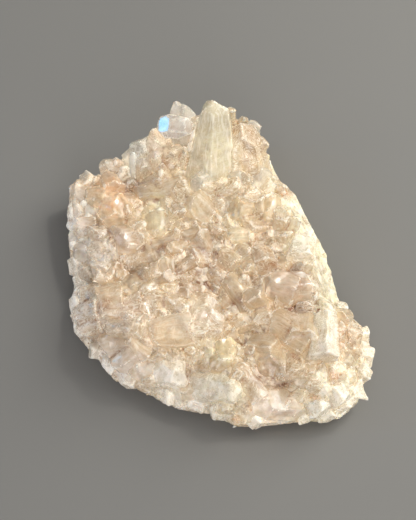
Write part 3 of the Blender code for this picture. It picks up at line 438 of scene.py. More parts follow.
@dataclass
class Ground:
    """The massive quartz as a height over the plan, with the rim that bounds it."""

    height: float = 25.0
    heart_u: float = 0.0
    heart_v: float = -8.0
    shoulder: float = 15.0
    fullness: float = 0.7
    relief_margin: float = 6.0
    front_rim: float = 7.0
    rear_rim: float = 15.0
    rim_low_until: float = -20.0
    rim_rises_over: float = 60.0
    undercut: float = 4.5
    undercut_curve: float = 1.5
    swell_size: float = 17.0
    swell_height: float = 2.6
    swell_level: float = 0.3
    step_size: float = 6.5
    step_height: float = 1.5
    step_level: float = 4.0
    sight_steps: int = 12
    directions: int = 1440

    def __post_init__(self) -> None:
        """Measures the rim in every direction from the heart."""
        self.heart = seen(self.heart_u, self.heart_v, self.height)
        self.rim = [seen(u, v, self.rim_height(v)) for u, v in RIM]
        self.turns = np.linspace(-math.pi, math.pi, self.directions + 1)
        found = [self.measure_rim(turn) for turn in self.turns]
        self.reaches = np.array([reach for reach, _ in found])
        self.edges = np.array([edge for _, edge in found])
        self.relief = [(seen(u, v, self.height), radius, rise) for u, v, radius, rise in RELIEF]

    def rim_height(self, v: float) -> float:
        """Height of the widest line, lower at the front than at the rear."""
        share = float(smooth((v - self.rim_low_until) / self.rim_rises_over))
        return self.front_rim + (self.rear_rim - self.front_rim) * share

    def measure_rim(self, turn: float) -> Span:
        """Finds the rim in one direction.

        Args:
            turn: the direction in plan, in radians.

        Returns:
            The distance from the heart and the height of the rim.
        """
        ray = Vector((math.cos(turn), math.sin(turn)))
        across = Vector((-ray.y, ray.x))
        for start, end in zip(self.rim, self.rim[1:] + self.rim[:1]):
            a, b = (start - self.heart).xy, (end - self.heart).xy
            side_a, side_b = a.dot(across), b.dot(across)
            if side_a * side_b > 0.0 or side_a == side_b:
                continue
            share = side_a / (side_a - side_b)
            distance = (a + (b - a) * share).dot(ray)
            if distance > 0.0:
                return distance, start.z + (end.z - start.z) * share
        raise ValueError("the rim doesn't close round the heart")

    def rim_at(self, turn: np.ndarray) -> tuple[np.ndarray, np.ndarray]:
        """The distance and height of the rim in these directions."""
        return np.interp(turn, self.turns, self.reaches), np.interp(turn, self.turns, self.edges)

    def swell(self, x: float, y: float) -> float:
        """Soft swellings and sharper steps of the top.

        Args:
            x, y: a place in plan.

        Returns:
            How far the top stands out there.
        """
        slow = noise.noise(Vector((x / self.swell_size, y / self.swell_size, self.swell_level)))
        stepped = Vector((x / self.step_size + slow, y / self.step_size, self.step_level))
        return self.swell_height * slow + self.step_height * (noise.cell(stepped) - 0.5)

    def beyond(self, points: np.ndarray) -> np.ndarray:
        """How far points lie outside the side wall, in plan.

        Args:
            points: rows of x, y, z.

        Returns:
            The distances, below 0 for points inside.
        """
        away = points[:, :2] - np.array(self.heart.xy)
        reach, edge = self.rim_at(np.arctan2(away[:, 1], away[:, 0]))
        down = np.clip(1.0 - points[:, 2] / edge, 0.0, 1.0)
        return np.linalg.norm(away, axis=1) - reach + self.undercut * down**self.undercut_curve

    def top(self, x: np.ndarray, y: np.ndarray) -> np.ndarray:
        """Height of the ground above points of the plan.

        Args:
            x, y: arrays of one length.

        Returns:
            The heights.
        """
        away_x, away_y = x - self.heart.x, y - self.heart.y
        reach, edge = self.rim_at(np.arctan2(away_y, away_x))
        inside = reach - np.hypot(away_x, away_y)
        height = edge + (self.height - edge) * smooth(inside / self.shoulder) ** self.fullness
        relief = np.array([self.swell(float(a), float(b)) for a, b in zip(x, y)])
        for place, radius, rise in self.relief:
            relief += rise * np.exp(-((x - place.x) ** 2 + (y - place.y) ** 2) / radius**2)
        return height + relief * smooth(inside / self.relief_margin)

    def on(self, u: float, v: float) -> Vector:
        """Finds the place on the ground that shows at a point of the display face.

        Args:
            u, v: the point.

        Returns:
            The place.
        """
        height = self.height
        for _ in range(self.sight_steps):
            place = seen(u, v, height)
            height = 0.5 * (height + float(self.top(np.array([place.x]), np.array([place.y]))[0]))
        return seen(u, v, height)

    def slope(self, place: Vector, step: float = 2.0) -> Vector:
        """The direction that faces straight out of the ground.

        Args:
            place: where.
            step: the slope is measured over this distance each way.

        Returns:
            The direction.
        """
        x = np.array([place.x + step, place.x - step, place.x, place.x])
        y = np.array([place.y, place.y, place.y + step, place.y - step])
        east, west, north, south = self.top(x, y)
        return Vector((west - east, south - north, 2.0 * step)).normalized()


@dataclass
class Form:
    """A closed form. growth is each point's place in its own crystal, with z along it."""

    points: np.ndarray
    faces: Faces
    growth: np.ndarray


def cut(bm: bmesh.types.BMesh, point: Vector, normal: Vector) -> None:
    """Takes off what lies beyond a plane, and closes the cut with one flat face.

    Args:
        bm: the mesh.
        point: a point of the plane.
        normal: the side that is taken off.
    """
    geometry = bm.verts[:] + bm.edges[:] + bm.faces[:]
    made = bmesh.ops.bisect_plane(
        bm, geom=geometry, dist=1e-4, plane_co=point, plane_no=normal, clear_outer=True
    )
    edges = [item for item in made["geom_cut"] if isinstance(item, bmesh.types.BMEdge)]
    if edges:
        bmesh.ops.holes_fill(bm, edges=edges, sides=0)


def form_of(bm: bmesh.types.BMesh, back: Matrix | None = None) -> Form:
    """The form of a bmesh, which is freed.

    Args:
        bm: the mesh.
        back: turns its places into places in the crystal, or None where they are the same.

    Returns:
        The form.
    """
    bm.verts.index_update()
    points = np.array([vertex.co[:] for vertex in bm.verts])
    growth = np.array([(back @ vertex.co)[:] for vertex in bm.verts]) if back else points.copy()
    faces = [tuple(vertex.index for vertex in face.verts) for face in bm.faces]
    bm.free()
    return Form(points, faces, growth)


def crystal(
    root: Vector, tip: Vector, width: float, flatness: float, roll: float, habit: Habit,
    rng: random.Random,
) -> Form:
    """A six-sided prism that ends in uneven faces, with its root buried in the ground.

    Args:
        root, tip: the ends of its axis.
        width: its width across.
        flatness: its thickness as a share of the width.
        roll: its turn about its axis, in degrees.
        habit: the way it ends.
        rng: where its uneven faces come from.

    Returns:
        The crystal in place.
    """
    end_faces = 3 if width < SMALL_WIDTH else habit.end_faces
    axis = tip - root
    foot = root - axis.normalized() * width * BURIED
    length = (tip - foot).length
    taper = math.radians(habit.taper)
    bm = bmesh.new()
    bmesh.ops.create_cube(bm, size=1.0)
    bmesh.ops.scale(bm, vec=(BLANK * width, BLANK * width, length), verts=bm.verts)
    bmesh.ops.translate(bm, vec=(0.0, 0.0, length / 2), verts=bm.verts)
    for side in range(6):
        turn = side * math.pi / 3
        out = Vector((math.cos(turn), math.sin(turn), 0.0))
        reach = out * width / 2 * rng.uniform(habit.least_side, habit.most_side)
        reach.z = (root - foot).length
        cut(bm, reach, out * math.cos(taper) + Vector((0.0, 0.0, math.sin(taper))))
    lean = math.radians(habit.end_slope)
    for side in range(end_faces):
        turn = side * math.tau / end_faces
        top = length - width * rng.uniform(*(SMALL_END_FACE if side % 2 else LARGE_END_FACE))
        out = Vector((math.cos(turn) * math.sin(lean), math.sin(turn) * math.sin(lean), math.cos(lean)))
        cut(bm, Vector((0.0, 0.0, top)), out)
    bmesh.ops.scale(bm, vec=(1.0, flatness, 1.0), verts=bm.verts)
    aim = axis.to_track_quat("Z", "Y") @ Quaternion((0.0, 0.0, 1.0), math.radians(roll))
    place = Matrix.Translation(foot) @ aim.to_matrix().to_4x4()
    bmesh.ops.transform(bm, matrix=place, verts=bm.verts)
    cut(bm, Vector((0.0, 0.0, LOWEST_ROOT)), Vector((0.0, 0.0, -1.0)))
    bmesh.ops.recalc_face_normals(bm, faces=bm.faces)
    return form_of(bm, place.inverted())


@dataclass
class Skin:
    """A finished surface, with what the finishes read from it at each point.

    growth is the place in the crystal, own a number from 0 to 1 that is the crystal's own, worn is 1 on
    the crystal's edges that stand out, which the finishes paint pale, partly as broken edges and partly as
    painted highlight, and crease is 1 where it meets its neighbours.
    """

    name: str
    points: np.ndarray
    faces: Faces
    growth: np.ndarray
    own: np.ndarray
    worn_and_highlight: np.ndarray
    crease: np.ndarray


@dataclass
class Gathering:
    """Forms that become one mesh, each with a number from 0 to 1 that is its own."""

    name: str
    forms: list[Form] = field(default_factory=list)
    owns: list[float] = field(default_factory=list)

    def add(self, form: Form, own: float) -> None:
        """Takes in one form."""
        self.forms.append(form)
        self.owns.append(own)

    def take(self, other: "Gathering") -> None:
        """Takes in all the forms of another gathering."""
        self.forms += other.forms
        self.owns += other.owns

    def joined(self) -> Skin:
        """Puts the forms side by side in one skin, each with its flat faces.

        Returns:
            The skin.
        """
        faces, first = [], 0
        for form in self.forms:
            faces += [tuple(index + first for index in face) for face in form.faces]
            first += len(form.points)
        own = np.repeat(self.owns, [len(form.points) for form in self.forms])
        points = np.concatenate([form.points for form in self.forms])
        growth = np.concatenate([form.growth for form in self.forms])
        plain = np.zeros(len(points))
        return Skin(self.name, points, faces, growth, own, plain, plain)


def around(points: np.ndarray, quads: np.ndarray, values: np.ndarray) -> np.ndarray:
    """The mean of the values at each point's neighbours.

    Args:
        points: rows of x, y, z.
        quads: rows of four point numbers.
        values: a row of numbers for each point.

    Returns:
        Rows like values.
    """
    start, end = quads.ravel(), np.roll(quads, -1, axis=1).ravel()
    count = np.maximum(np.bincount(start, minlength=len(points)), 1)
    columns = [np.bincount(start, values[end, i], len(points)) / count for i in range(values.shape[1])]
    return np.stack(columns, axis=1)


def facing(points: np.ndarray, quads: np.ndarray) -> np.ndarray:
    """The direction out of the surface at each point.

    Args:
        points: rows of x, y, z.
        quads: rows of four point numbers.

    Returns:
        Rows of length 1, like points.
    """
    a, b, c, d = (points[quads[:, i]] for i in range(4))
    out = np.cross(c - a, d - b)
    total = np.zeros_like(points)
    for corner in range(4):
        for axis in range(3):
            total[:, axis] += np.bincount(quads[:, corner], out[:, axis], len(points))
    return total / (np.linalg.norm(total, axis=1)[:, None] + 1e-9)


@dataclass
class Intergrowth:
    """Grows the forms of a gathering together into one skin with soft edges and wavy faces.

    A wave is broad, a wrinkle is narrow and follows the layers in which the crystal grew, and wander is
    how far those layers stray. A bend moves whole neighbourhoods. An edge that stands out by edge_turn
    counts as worn, which the finishes paint pale, partly as a rubbed edge and partly as a painted
    highlight. One that lies in by crease_turn counts as a crease, which the tint paints earthy brown,
    partly as staining and partly as painted shade.
    """

    voxel: float = 0.6
    wave_size: float = 3.4
    wave_height: float = 0.2
    wrinkle_size: float = 1.3
    wrinkle_height: float = 0.06
    wrinkle_level: float = 0.6
    wander: float = 1.6
    apart: float = 50.0
    bend_size: float = 5.5
    bend: float = 0.9
    bend_shifts: Triple = (7.0, 38.4, 69.8)
    softening: int = 1
    edge_turn: float = 0.038
    crease_start: float = 0.006
    crease_turn: float = 0.030

    def weld(self, rough: Skin) -> tuple[np.ndarray, np.ndarray]:
        """Joins overlapping forms into one surface of small four-sided faces.

        Args:
            rough: the forms side by side.

        Returns:
            Its points and its faces, as rows of four point numbers.
        """
        mesh = bpy.data.meshes.new("rough")
        mesh.from_pydata(rough.points.tolist(), [], rough.faces)
        holder = bpy.data.objects.new("rough", mesh)
        bpy.context.scene.collection.objects.link(holder)
        remesh = holder.modifiers.new("weld", "REMESH")
        remesh.mode = "VOXEL"
        remesh.voxel_size = self.voxel
        bpy.context.view_layer.update()
        welded = holder.evaluated_get(bpy.context.evaluated_depsgraph_get()).to_mesh()
        points = np.empty(len(welded.vertices) * 3)
        welded.vertices.foreach_get("co", points)
        corners = np.empty(len(welded.loops), np.int32)
        welded.loops.foreach_get("vertex_index", corners)
        bpy.data.objects.remove(holder)
        bpy.data.meshes.remove(mesh)
        return points.reshape(-1, 3), corners.reshape(-1, 4)

    def origins(
        self, gathered: Gathering, rough: Skin, points: np.ndarray
    ) -> tuple[np.ndarray, np.ndarray]:
        """Finds which crystal each point comes from.

        Args:
            gathered: the crystals.
            rough: the same crystals side by side.
            points: the places on the welded surface.

        Returns:
            Each point's place in its crystal, and the crystal's own number.
        """
        tree = BVHTree.FromPolygons(rough.points.tolist(), rough.faces)
        owners = np.repeat(np.arange(len(gathered.forms)), [len(form.faces) for form in gathered.forms])
        nearest = owners[[tree.find_nearest(Vector(point))[2] for point in points]]
        maps = []
        for form in gathered.forms:
            place = np.column_stack([form.points, np.ones(len(form.points))])
            maps.append(np.linalg.lstsq(place, form.growth, rcond=None)[0])
        place = np.column_stack([points, np.ones(len(points))])
        growth = np.einsum("ni,nij->nj", place, np.array(maps)[nearest])
        return growth, np.array(gathered.owns)[nearest]

    def bends(self, points: np.ndarray) -> np.ndarray:
        """How far each point moves with its neighbourhood, which leaves no edge quite straight.

        Args:
            points: rows of x, y, z.

        Returns:
            The moves, as rows like points.
        """
        shifts = [Vector((shift, -shift, 0.5 * shift)) for shift in self.bend_shifts]
        places = [Vector(point) / self.bend_size for point in points.tolist()]
        return self.bend * np.array([[noise.noise(place + shift) for shift in shifts] for place in places])

    def waves(self, growth: np.ndarray, own: np.ndarray) -> np.ndarray:
        """How far the waves and wrinkles stand out.

        Args:
            growth: each point's place in its crystal.
            own: each point's crystal's own number.

        Returns:
            A height for each point.
        """
        heights = []
        for place, number in zip(growth.tolist(), own.tolist()):
            apart = self.apart * number
            wave = noise.noise(Vector([value / self.wave_size + apart for value in place]))
            narrow = Vector([value / self.wrinkle_size + apart for value in place])
            narrow.z += self.wander * wave
            ridge = 1.0 - 2.0 * abs(noise.noise(narrow))
            heights.append(self.wave_height * wave + self.wrinkle_height * (ridge - self.wrinkle_level))
        return np.array(heights)

    def grow(self, gathered: Gathering) -> Skin:
        """Makes one skin of many forms.

        Args:
            gathered: the forms.

        Returns:
            The skin.
        """
        rough = gathered.joined()
        points, quads = self.weld(rough)
        growth, own = self.origins(gathered, rough, points)
        points = points + self.bends(points)
        for _ in range(self.softening):
            points = 0.5 * (points + around(points, quads, points))
        points = points + facing(points, quads) * self.waves(growth, own)[:, None]
        points[:, 2] = np.maximum(points[:, 2], LOWEST_POINT)
        out = facing(points, quads)
        proud = np.einsum("ij,ij->i", points - around(points, quads, points), out)
        proud = around(points, quads, proud[:, None])[:, 0]
        # Edges that stand out are marked to be painted pale, partly as rubbed edge and partly as painted
        # highlight. Creases are marked for earthy brown, partly staining and partly painted shade.
        worn_and_highlight = smooth((proud - self.edge_turn) / self.edge_turn)
        crease = smooth((-proud - self.crease_start) / self.crease_turn)
        faces = [tuple(quad) for quad in quads.tolist()]
        return Skin(gathered.name, points, faces, growth, own, worn_and_highlight, crease)


@dataclass
class Hollows:
    """How deep a place lies between its neighbours, judged from all the surfaces round it.

    cell is the size of the boxes that the surfaces are counted in, and reach how many boxes away a
    neighbour still counts.
    """

    clouds: list[np.ndarray]
    cell: float = 1.1
    reach: int = 3

    def __post_init__(self) -> None:
        """Counts the surface points in boxes and spreads the counts over the neighbouring boxes."""
        points = np.concatenate(self.clouds)
        self.corner = points.min(axis=0) - (self.reach + 1) * self.cell
        shape = np.ceil((points.max(axis=0) - self.corner) / self.cell).astype(int) + self.reach + 2
        boxes = ((points - self.corner) / self.cell).astype(int)
        flat = np.ravel_multi_index(boxes.T, shape)
        size = int(np.prod(shape))
        sums = [np.bincount(flat, weight, size) for weight in (np.ones(len(points)), *points.T)]
        self.grids = np.stack([grid.reshape(shape) for grid in sums], axis=-1)
        steps = np.arange(-self.reach, self.reach + 1)
        kernel = np.exp(-0.5 * (steps / (0.5 * self.reach)) ** 2)
        for axis in range(3):
            spread = np.zeros_like(self.grids)
            for step, weight in zip(steps, kernel):
                spread += weight * np.roll(self.grids, step, axis=axis)
            self.grids = spread

    def at(self, points: np.ndarray, out: np.ndarray) -> np.ndarray:
        """How deep each point lies.

        Args:
            points: rows of x, y, z.
            out: the direction out of the surface at each point.

        Returns:
            About 1 in a deep gap, 0 on a flat face and below 0 on what stands out.
        """
        boxes = ((points - self.corner) / self.cell).astype(int)
        found = self.grids[boxes[:, 0], boxes[:, 1], boxes[:, 2]]
        middle = found[:, 1:] / (found[:, :1] + 1e-9)
        return np.einsum("ij,ij->i", middle - points, out) / self.cell


def piece_of(
    skin: Skin, material: bpy.types.Material, hollows: Hollows, casts_shadow: bool
) -> bpy.types.Object:
    """Makes the object of a skin.

    Args:
        skin: the surface.
        material: its finish.
        hollows: says how deep each point lies.
        casts_shadow: False for crystals, which let the light through.

    Returns:
        The object, in metres in the model's frame, riding on the cluster's body.
    """
    mesh = bpy.data.meshes.new(skin.name)
    mesh.from_pydata(((skin.points - np.array([*BOX_MIDDLE, 0.0])) * MM).tolist(), [], skin.faces)
    mesh.update()
    out = np.empty(len(skin.points) * 3)
    mesh.vertex_normals.foreach_get("vector", out)
    layers = (
        ("growth", "FLOAT_VECTOR", "vector", skin.growth.ravel()),
        ("tone", "FLOAT_COLOR", "color", tones(skin.points).ravel()),
        ("own", "FLOAT", "value", skin.own),
        ("worn_and_highlight", "FLOAT", "value", skin.worn_and_highlight),
        ("crease", "FLOAT", "value", skin.crease),
        ("hollow", "FLOAT", "value", hollows.at(skin.points, out.reshape(-1, 3))),
    )
    for name, kind, part, values in layers:
        mesh.attributes.new(name, kind, "POINT").data.foreach_set(part, values)
    mesh.materials.append(material)
    if skin.worn_and_highlight.any():
        mesh.shade_smooth()
    piece = bpy.data.objects.new(skin.name, mesh)
    bpy.context.scene.collection.objects.link(piece)
    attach(piece, BODY)
    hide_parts(NODE)
    piece.visible_shadow = casts_shadow
    LOG.info("%s: %d faces", skin.name, len(skin.faces))
    return piece


@dataclass
class MassiveQuartz:
    """The grainy quartz that everything grows from: the ground with its wall, and lumps on the rim.

    The ground is rings of points round the heart, crowded towards the rim, and it lies a little lower
    than the crystals' roots. rounded is how many rings above the rim turn from facing up to facing out.
    """

    ground: Ground
    segments: int = 330
    rings: int = 66
    wall_rings: int = 11
    floor_rings: int = 3
    ring_crowding: float = 0.85
    rounded: int = 6
    grain_height: float = 0.9
    grain_size: float = 3.2
    grain_level: float = 0.5
    fine_height: float = 0.25
    fine_size: float = 1.6
    wall_bulge: float = 0.8
    lump_spacing: float = 14.0
    lump_width: Span = (3.2, 4.6)
    lump_height: Span = (2.8, 4.2)
    lump_inset: Span = (2.4, 3.6)
    lump_lift: Span = (-0.5, 1.5)
    lump_faces: int = 10
    lump_face_depth: Span = (0.86, 1.0)
    lump_blank: float = 3.0
    lump_seed: int = 5
    smooth_flank: Span = (18.0, -22.0)
    sunk: float = 1.3
    sunk_over: float = 0.125

    def grains(self, points: np.ndarray) -> np.ndarray:
        """How far the grains stand out.

        Args:
            points: rows of x, y, z.

        Returns:
            A height for each point.
        """
        heights = []
        for place in points:
            near = noise.voronoi(Vector(place) / self.grain_size)[0]
            fine = noise.fractal(Vector(place) / self.fine_size, 1.0, 2.0, 3)
            heights.append(self.grain_height * (self.grain_level - near[0]) + self.fine_height * fine)
        return np.array(heights)

    def row(self, level: np.ndarray, reach: np.ndarray, height: np.ndarray | None = None) -> np.ndarray:
        """One ring of points round the heart.

        Args:
            level: the level directions out of the heart.
            reach: how far each point lies from the heart.
            height: the points' heights, or None for those of the ground.

        Returns:
            The points.
        """
        x, y = self.ground.heart.x + reach * level[:, 0], self.ground.heart.y + reach * level[:, 1]
        return np.stack([x, y, self.ground.top(x, y) if height is None else height], axis=1)

    def skin(self) -> Form:
        """The ground, its side wall and its flat underside as one closed form.

        Returns:
            The form.
        """
        turns = -math.pi + math.tau * np.arange(self.segments) / self.segments
        reach, edge = self.ground.rim_at(turns)
        level = np.column_stack([np.cos(turns), np.sin(turns), np.zeros(self.segments)])
        heart = self.ground.heart
        rows = []
        for ring in range(1, self.rings + 1):
            share = (ring / self.rings) ** self.ring_crowding
            rows.append(self.row(level, share * reach))
            rows[-1][:, 2] -= self.sunk * smooth((1.0 - share) / self.sunk_over)
        for ring in range(1, self.wall_rings + 1):
            down = ring / self.wall_rings
            bulge = self.wall_bulge * math.sin(down * math.pi)
            inset = self.ground.undercut * down**self.ground.undercut_curve - bulge
            rows.append(self.row(level, (1.0 - inset / reach) * reach, edge * (1.0 - down)))
        for ring in range(1, self.floor_rings + 1):
            share = (1.0 - self.ground.undercut / reach) * (1.0 - ring / (self.floor_rings + 0.5))
            rows.append(self.row(level, share * reach, np.zeros(self.segments)))
        top_height = float(self.ground.top(np.array([heart.x]), np.array([heart.y]))[0]) - self.sunk
        points = np.concatenate([[[heart.x, heart.y, top_height]], *rows, [[heart.x, heart.y, 0.0]]])
        free = len(points) - 1 - (self.floor_rings + 1) * self.segments
        out = np.tile([0.0, 0.0, 1.0], (len(points), 1))
        wall = 1 + self.rings * self.segments
        for ring in range(-self.rounded, self.wall_rings):
            band = slice(wall + ring * self.segments, wall + (ring + 1) * self.segments)
            share = min(1.0, (ring + self.rounded + 1) / (self.rounded + 1))
            out[band] = level * share + out[band] * (1 - share)
        points[:free] += out[:free] * self.grains(points[:free])[:, None]
        return Form(points, self.skin_faces(len(rows)), points.copy())

    def skin_faces(self, rows: int) -> Faces:
        """The faces of the skin: a fan, bands of four-sided faces, and a fan.

        Args:
            rows: how many rings of points there are.

        Returns:
            The faces.
        """
        n = self.segments
        faces: Faces = [(0, 1 + i, 1 + (i + 1) % n) for i in range(n)]
        for row in range(rows - 1):
            inner, outer = 1 + row * n, 1 + (row + 1) * n
            faces += [(inner + i, outer + i, outer + (i + 1) % n, inner + (i + 1) % n) for i in range(n)]
        last = 1 + (rows - 1) * n
        end = 1 + rows * n
        return faces + [(last + i, end, last + (i + 1) % n) for i in range(n)]

    def lump(self, place: Vector, size: Vector, rng: random.Random) -> Form:
        """A block of quartz whose corners are cut off by flat faces.

        Args:
            place: its middle.
            size: half its width, depth and height.
            rng: where its uneven faces come from.

        Returns:
            The block in place.
        """
        bm = bmesh.new()
        bmesh.ops.create_cube(bm, size=self.lump_blank)
        for index in range(self.lump_faces):
            height = 1.0 - 2.0 * (index + 0.5) / self.lump_faces
            turn = index * math.pi * (3.0 - math.sqrt(5.0)) + rng.uniform(-0.3, 0.3)
            ring = math.sqrt(1.0 - height * height)
            out = Vector((ring * math.cos(turn), ring * math.sin(turn), height))
            cut(bm, out * rng.uniform(*self.lump_face_depth), out)
        bmesh.ops.scale(bm, vec=size, verts=bm.verts)
        aim = Matrix.Rotation(rng.uniform(0.0, math.tau), 4, "Z")
        bmesh.ops.transform(bm, matrix=Matrix.Translation(place) @ aim, verts=bm.verts)
        cut(bm, Vector((0.0, 0.0, LOWEST_ROOT)), Vector((0.0, 0.0, -1.0)))
        bmesh.ops.recalc_face_normals(bm, faces=bm.faces)
        return form_of(bm)

    def lumps(self) -> Gathering:
        """Builds the lumps all round the rim, apart from the straight right flank.

        Returns:
            The lumps.
        """
        rng = random.Random(self.lump_seed)
        made = Gathering("rim_lumps")
        rim, heart = self.ground.rim, self.ground.heart
        for start, end in zip(rim, rim[1:] + rim[:1]):
            pieces = max(1, round((end - start).length / self.lump_spacing))
            for piece in range(pieces):
                place = start.lerp(end, (piece + rng.uniform(0.2, 0.8)) / pieces)
                if place.x > self.smooth_flank[0] and place.y > self.smooth_flank[1]:
                    continue
                inwards = (heart - place).xy.normalized().to_3d()
                spans = (self.lump_width, self.lump_width, self.lump_height)
                size = Vector([rng.uniform(*span) for span in spans])
                place += inwards * rng.uniform(*self.lump_inset)
                place.z += rng.uniform(*self.lump_lift)
                made.add(self.lump(place, size, rng), (len(made.forms) * NEXT_OWN) % 1.0)
        return made


@dataclass
class NamedCrystals:
    """The crystals of the lists, with the room that each takes in plan.

    Away from the rim, by more than inner, they stand lower by more_rise and are wider by more_width.
    A crystal wider than plain_width shows few lines.
    """

    ground: Ground
    seed: int = 3
    inner: float = 10.0
    more_rise: float = -1.5
    more_width: float = 1.2
    plain_width: float = 12.0
    taken: Discs = field(default_factory=list)

    def build(self) -> dict[tuple[str, Clarity], Gathering]:
        """Builds every named crystal.

        Returns:
            The crystals of each zone and clarity.
        """
        rng = random.Random(self.seed)
        gathered: dict[tuple[str, Clarity], Gathering] = {}
        number = 0
        for zone, sites in ZONES.items():
            for site in sites:
                tip_u, tip_v, rise, root_u, root_v, width, flatness, roll, habit, clarity = site
                root = self.ground.on(root_u, root_v)
                below = root if zone == "rear_points" else self.ground.on(tip_u, tip_v)
                if zone != "rear_points" and self.ground.beyond(np.array([below[:]]))[0] < -self.inner:
                    rise, width = rise + self.more_rise, width * self.more_width
                tip = seen(tip_u, tip_v, below.z + rise)
                form = crystal(root, tip, width, flatness, roll, habit, rng)
                own = (number * NEXT_OWN) % 1.0
                if zone != "rear_points" and width > self.plain_width:
                    own = math.floor(own * LINE_KINDS) / LINE_KINDS
                gathered.setdefault((zone, clarity), Gathering(f"{zone}_{clarity.value}")).add(form, own)
                number += 1
                steps = max(2, round((tip - root).length / width) + 1)
                for step in range(steps):
                    self.taken.append((root.lerp(tip, step / (steps - 1)).xy, width / 2))
        return gathered


@dataclass
class FlashCrystal:
    """The broad clear crystal at the upper left, seen end on, with one end face that mirrors the window.

    outline is its side as (u, v) on the display face. ends are its end faces, each as a place (u, v),
    how far that lies below the top, and the face's slopes towards u and v. raised is how far it stands
    above the form that it replaces, and front and depth are its reach before and behind that top.
    Faces larger than least_rimmed, in square millimetres, get a rim that the finish paints pale, partly as
    a chipped edge and partly as a painted highlight.
    """

    outline: tuple[Span, ...] = (
        (-24.3, 56.4), (-23.2, 59.0), (-19.6, 60.0), (-12.2, 58.6), (-9.8, 56.4), (-10.4, 52.2),
        (-16.0, 50.0), (-21.2, 50.4), (-24.2, 53.4),
    )
    ends: tuple[tuple[float, float, float, float, float], ...] = (
        (-19.7, 55.0, 0.0, -0.66, 0.13), (-16.0, 55.0, 0.0, 0.06, 0.05), (-13.2, 55.0, 0.2, 0.6, 0.1),
        (-16.0, 52.4, 0.2, 0.0, -0.65), (-16.0, 58.0, 0.3, 0.1, 0.8), (-21.0, 52.4, 0.6, -0.5, -0.55),
    )
    depth: float = 18.0
    front: float = 4.0
    raised: float = 4.0
    edge_width: float = 0.3
    rim_width: float = 0.35
    least_rimmed: float = 4.0
    line_kind: float = 0.5
    merged: float = 0.01

    def place(self, u: float, v: float, out: float) -> Vector:
        """The place at (u, v) on the display face and this far out of it."""
        return seen(u, v, 0.0) + FACE_OUT * out - FACE_OUT * FACE_OUT.dot(seen(u, v, 0.0))

    def build(self, form: Form) -> Skin:
        """Builds the crystal.

        Args:
            form: the plain form that it stands for, which gives its height.

        Returns:
            Its skin.
        """
        top = float((form.points @ np.array(FACE_OUT)).max()) + self.raised
        bm = bmesh.new()
        rear, fore = (
            [bm.verts.new(self.place(u, v, top - low)) for u, v in self.outline]
            for low in (self.depth, -self.front)
        )
        bm.faces.new(rear)
        bm.faces.new(fore[::-1])
        for side in range(len(self.outline)):
            after = (side + 1) % len(self.outline)
            bm.faces.new((rear[after], rear[side], fore[side], fore[after]))
        for u, v, low, slope_u, slope_v in self.ends:
            cut(bm, self.place(u, v, top - low), FACE_OUT + FACE_RIGHT * slope_u + FACE_UP * slope_v)
        bmesh.ops.remove_doubles(bm, verts=bm.verts, dist=self.merged)
        bmesh.ops.bevel(
            bm, geom=bm.edges[:], offset=self.edge_width, segments=1, affect="EDGES", clamp_overlap=True
        )
        bmesh.ops.recalc_face_normals(bm, faces=bm.faces)
        broad = [face for face in bm.faces if face.calc_area() > self.least_rimmed]
        bmesh.ops.inset_individual(bm, faces=broad, thickness=self.rim_width)
        clean = np.array([vert.co[:] for face in broad for vert in face.verts])
        whole = form_of(bm)
        apart = np.linalg.norm(whole.points[:, None] - clean[None], axis=2).min(axis=1)
        # Bevels and rims are marked for the pale edge: partly a chipped edge, partly a painted highlight.
        worn_and_highlight = (apart > self.merged).astype(float)
        own = np.full(len(worn_and_highlight), self.line_kind)
        crease = np.zeros(len(worn_and_highlight))
        return Skin("flash_crystal", whole.points, whole.faces, whole.growth, own, worn_and_highlight, crease)


@dataclass
class FillCrystals:
    """Small crystals on a shaken grid that fill the ground between the named ones.

    margin is the bare width inside the rim, and none grows nearer to a named crystal's axis than
    crowded, a share of its radius.
    """

    ground: Ground
    spacing: float = 8.4
    width: Span = (4.2, 7.6)
    rise: Span = (1.2, 3.4)
    lean: float = 0.6
    span: float = 132.0
    margin: float = 5.0
    crowded: float = 0.9
    shake: Span = (0.1, 0.9)
    flatness: Span = (0.7, 1.0)
    seed: int = 11

    def build(self, taken: Discs) -> Gathering:
        """Builds the crystals where none of the named ones stands.

        Args:
            taken: the places and radii of the named crystals in plan.

        Returns:
            The crystals.
        """
        rng = random.Random(self.seed)
        steps = int(self.span / self.spacing)
        heart = self.ground.heart
        gathered = Gathering("fill_crystals")
        for row in range(steps):
            for column in range(steps):
                x = heart.x - self.span / 2 + (column + rng.uniform(*self.shake)) * self.spacing
                y = heart.y - self.span / 2 + (row + rng.uniform(*self.shake)) * self.spacing
                width = rng.uniform(*self.width)
                rise = rng.uniform(*self.rise)
                stray = Vector((rng.uniform(-1.0, 1.0), rng.uniform(-1.0, 1.0), rng.random() / 2))
                flatness, roll = rng.uniform(*self.flatness), rng.uniform(0.0, 60.0)
                offset = Vector((x, y)) - heart.xy
                reach, _ = self.ground.rim_at(np.array([math.atan2(offset.y, offset.x)]))
                if offset.length > reach[0] - self.margin:
                    continue
                if any((place - Vector((x, y))).length < self.crowded * radius for place, radius in taken):
                    continue
                root = Vector((x, y, float(self.ground.top(np.array([x]), np.array([y]))[0])))
                tip = root + (self.ground.slope(root) + self.lean * stray).normalized() * rise
                form = crystal(root, tip, width, flatness, roll, BLOCK, rng)
                gathered.add(form, (len(gathered.forms) * NEXT_OWN) % 1.0)
        return gathered


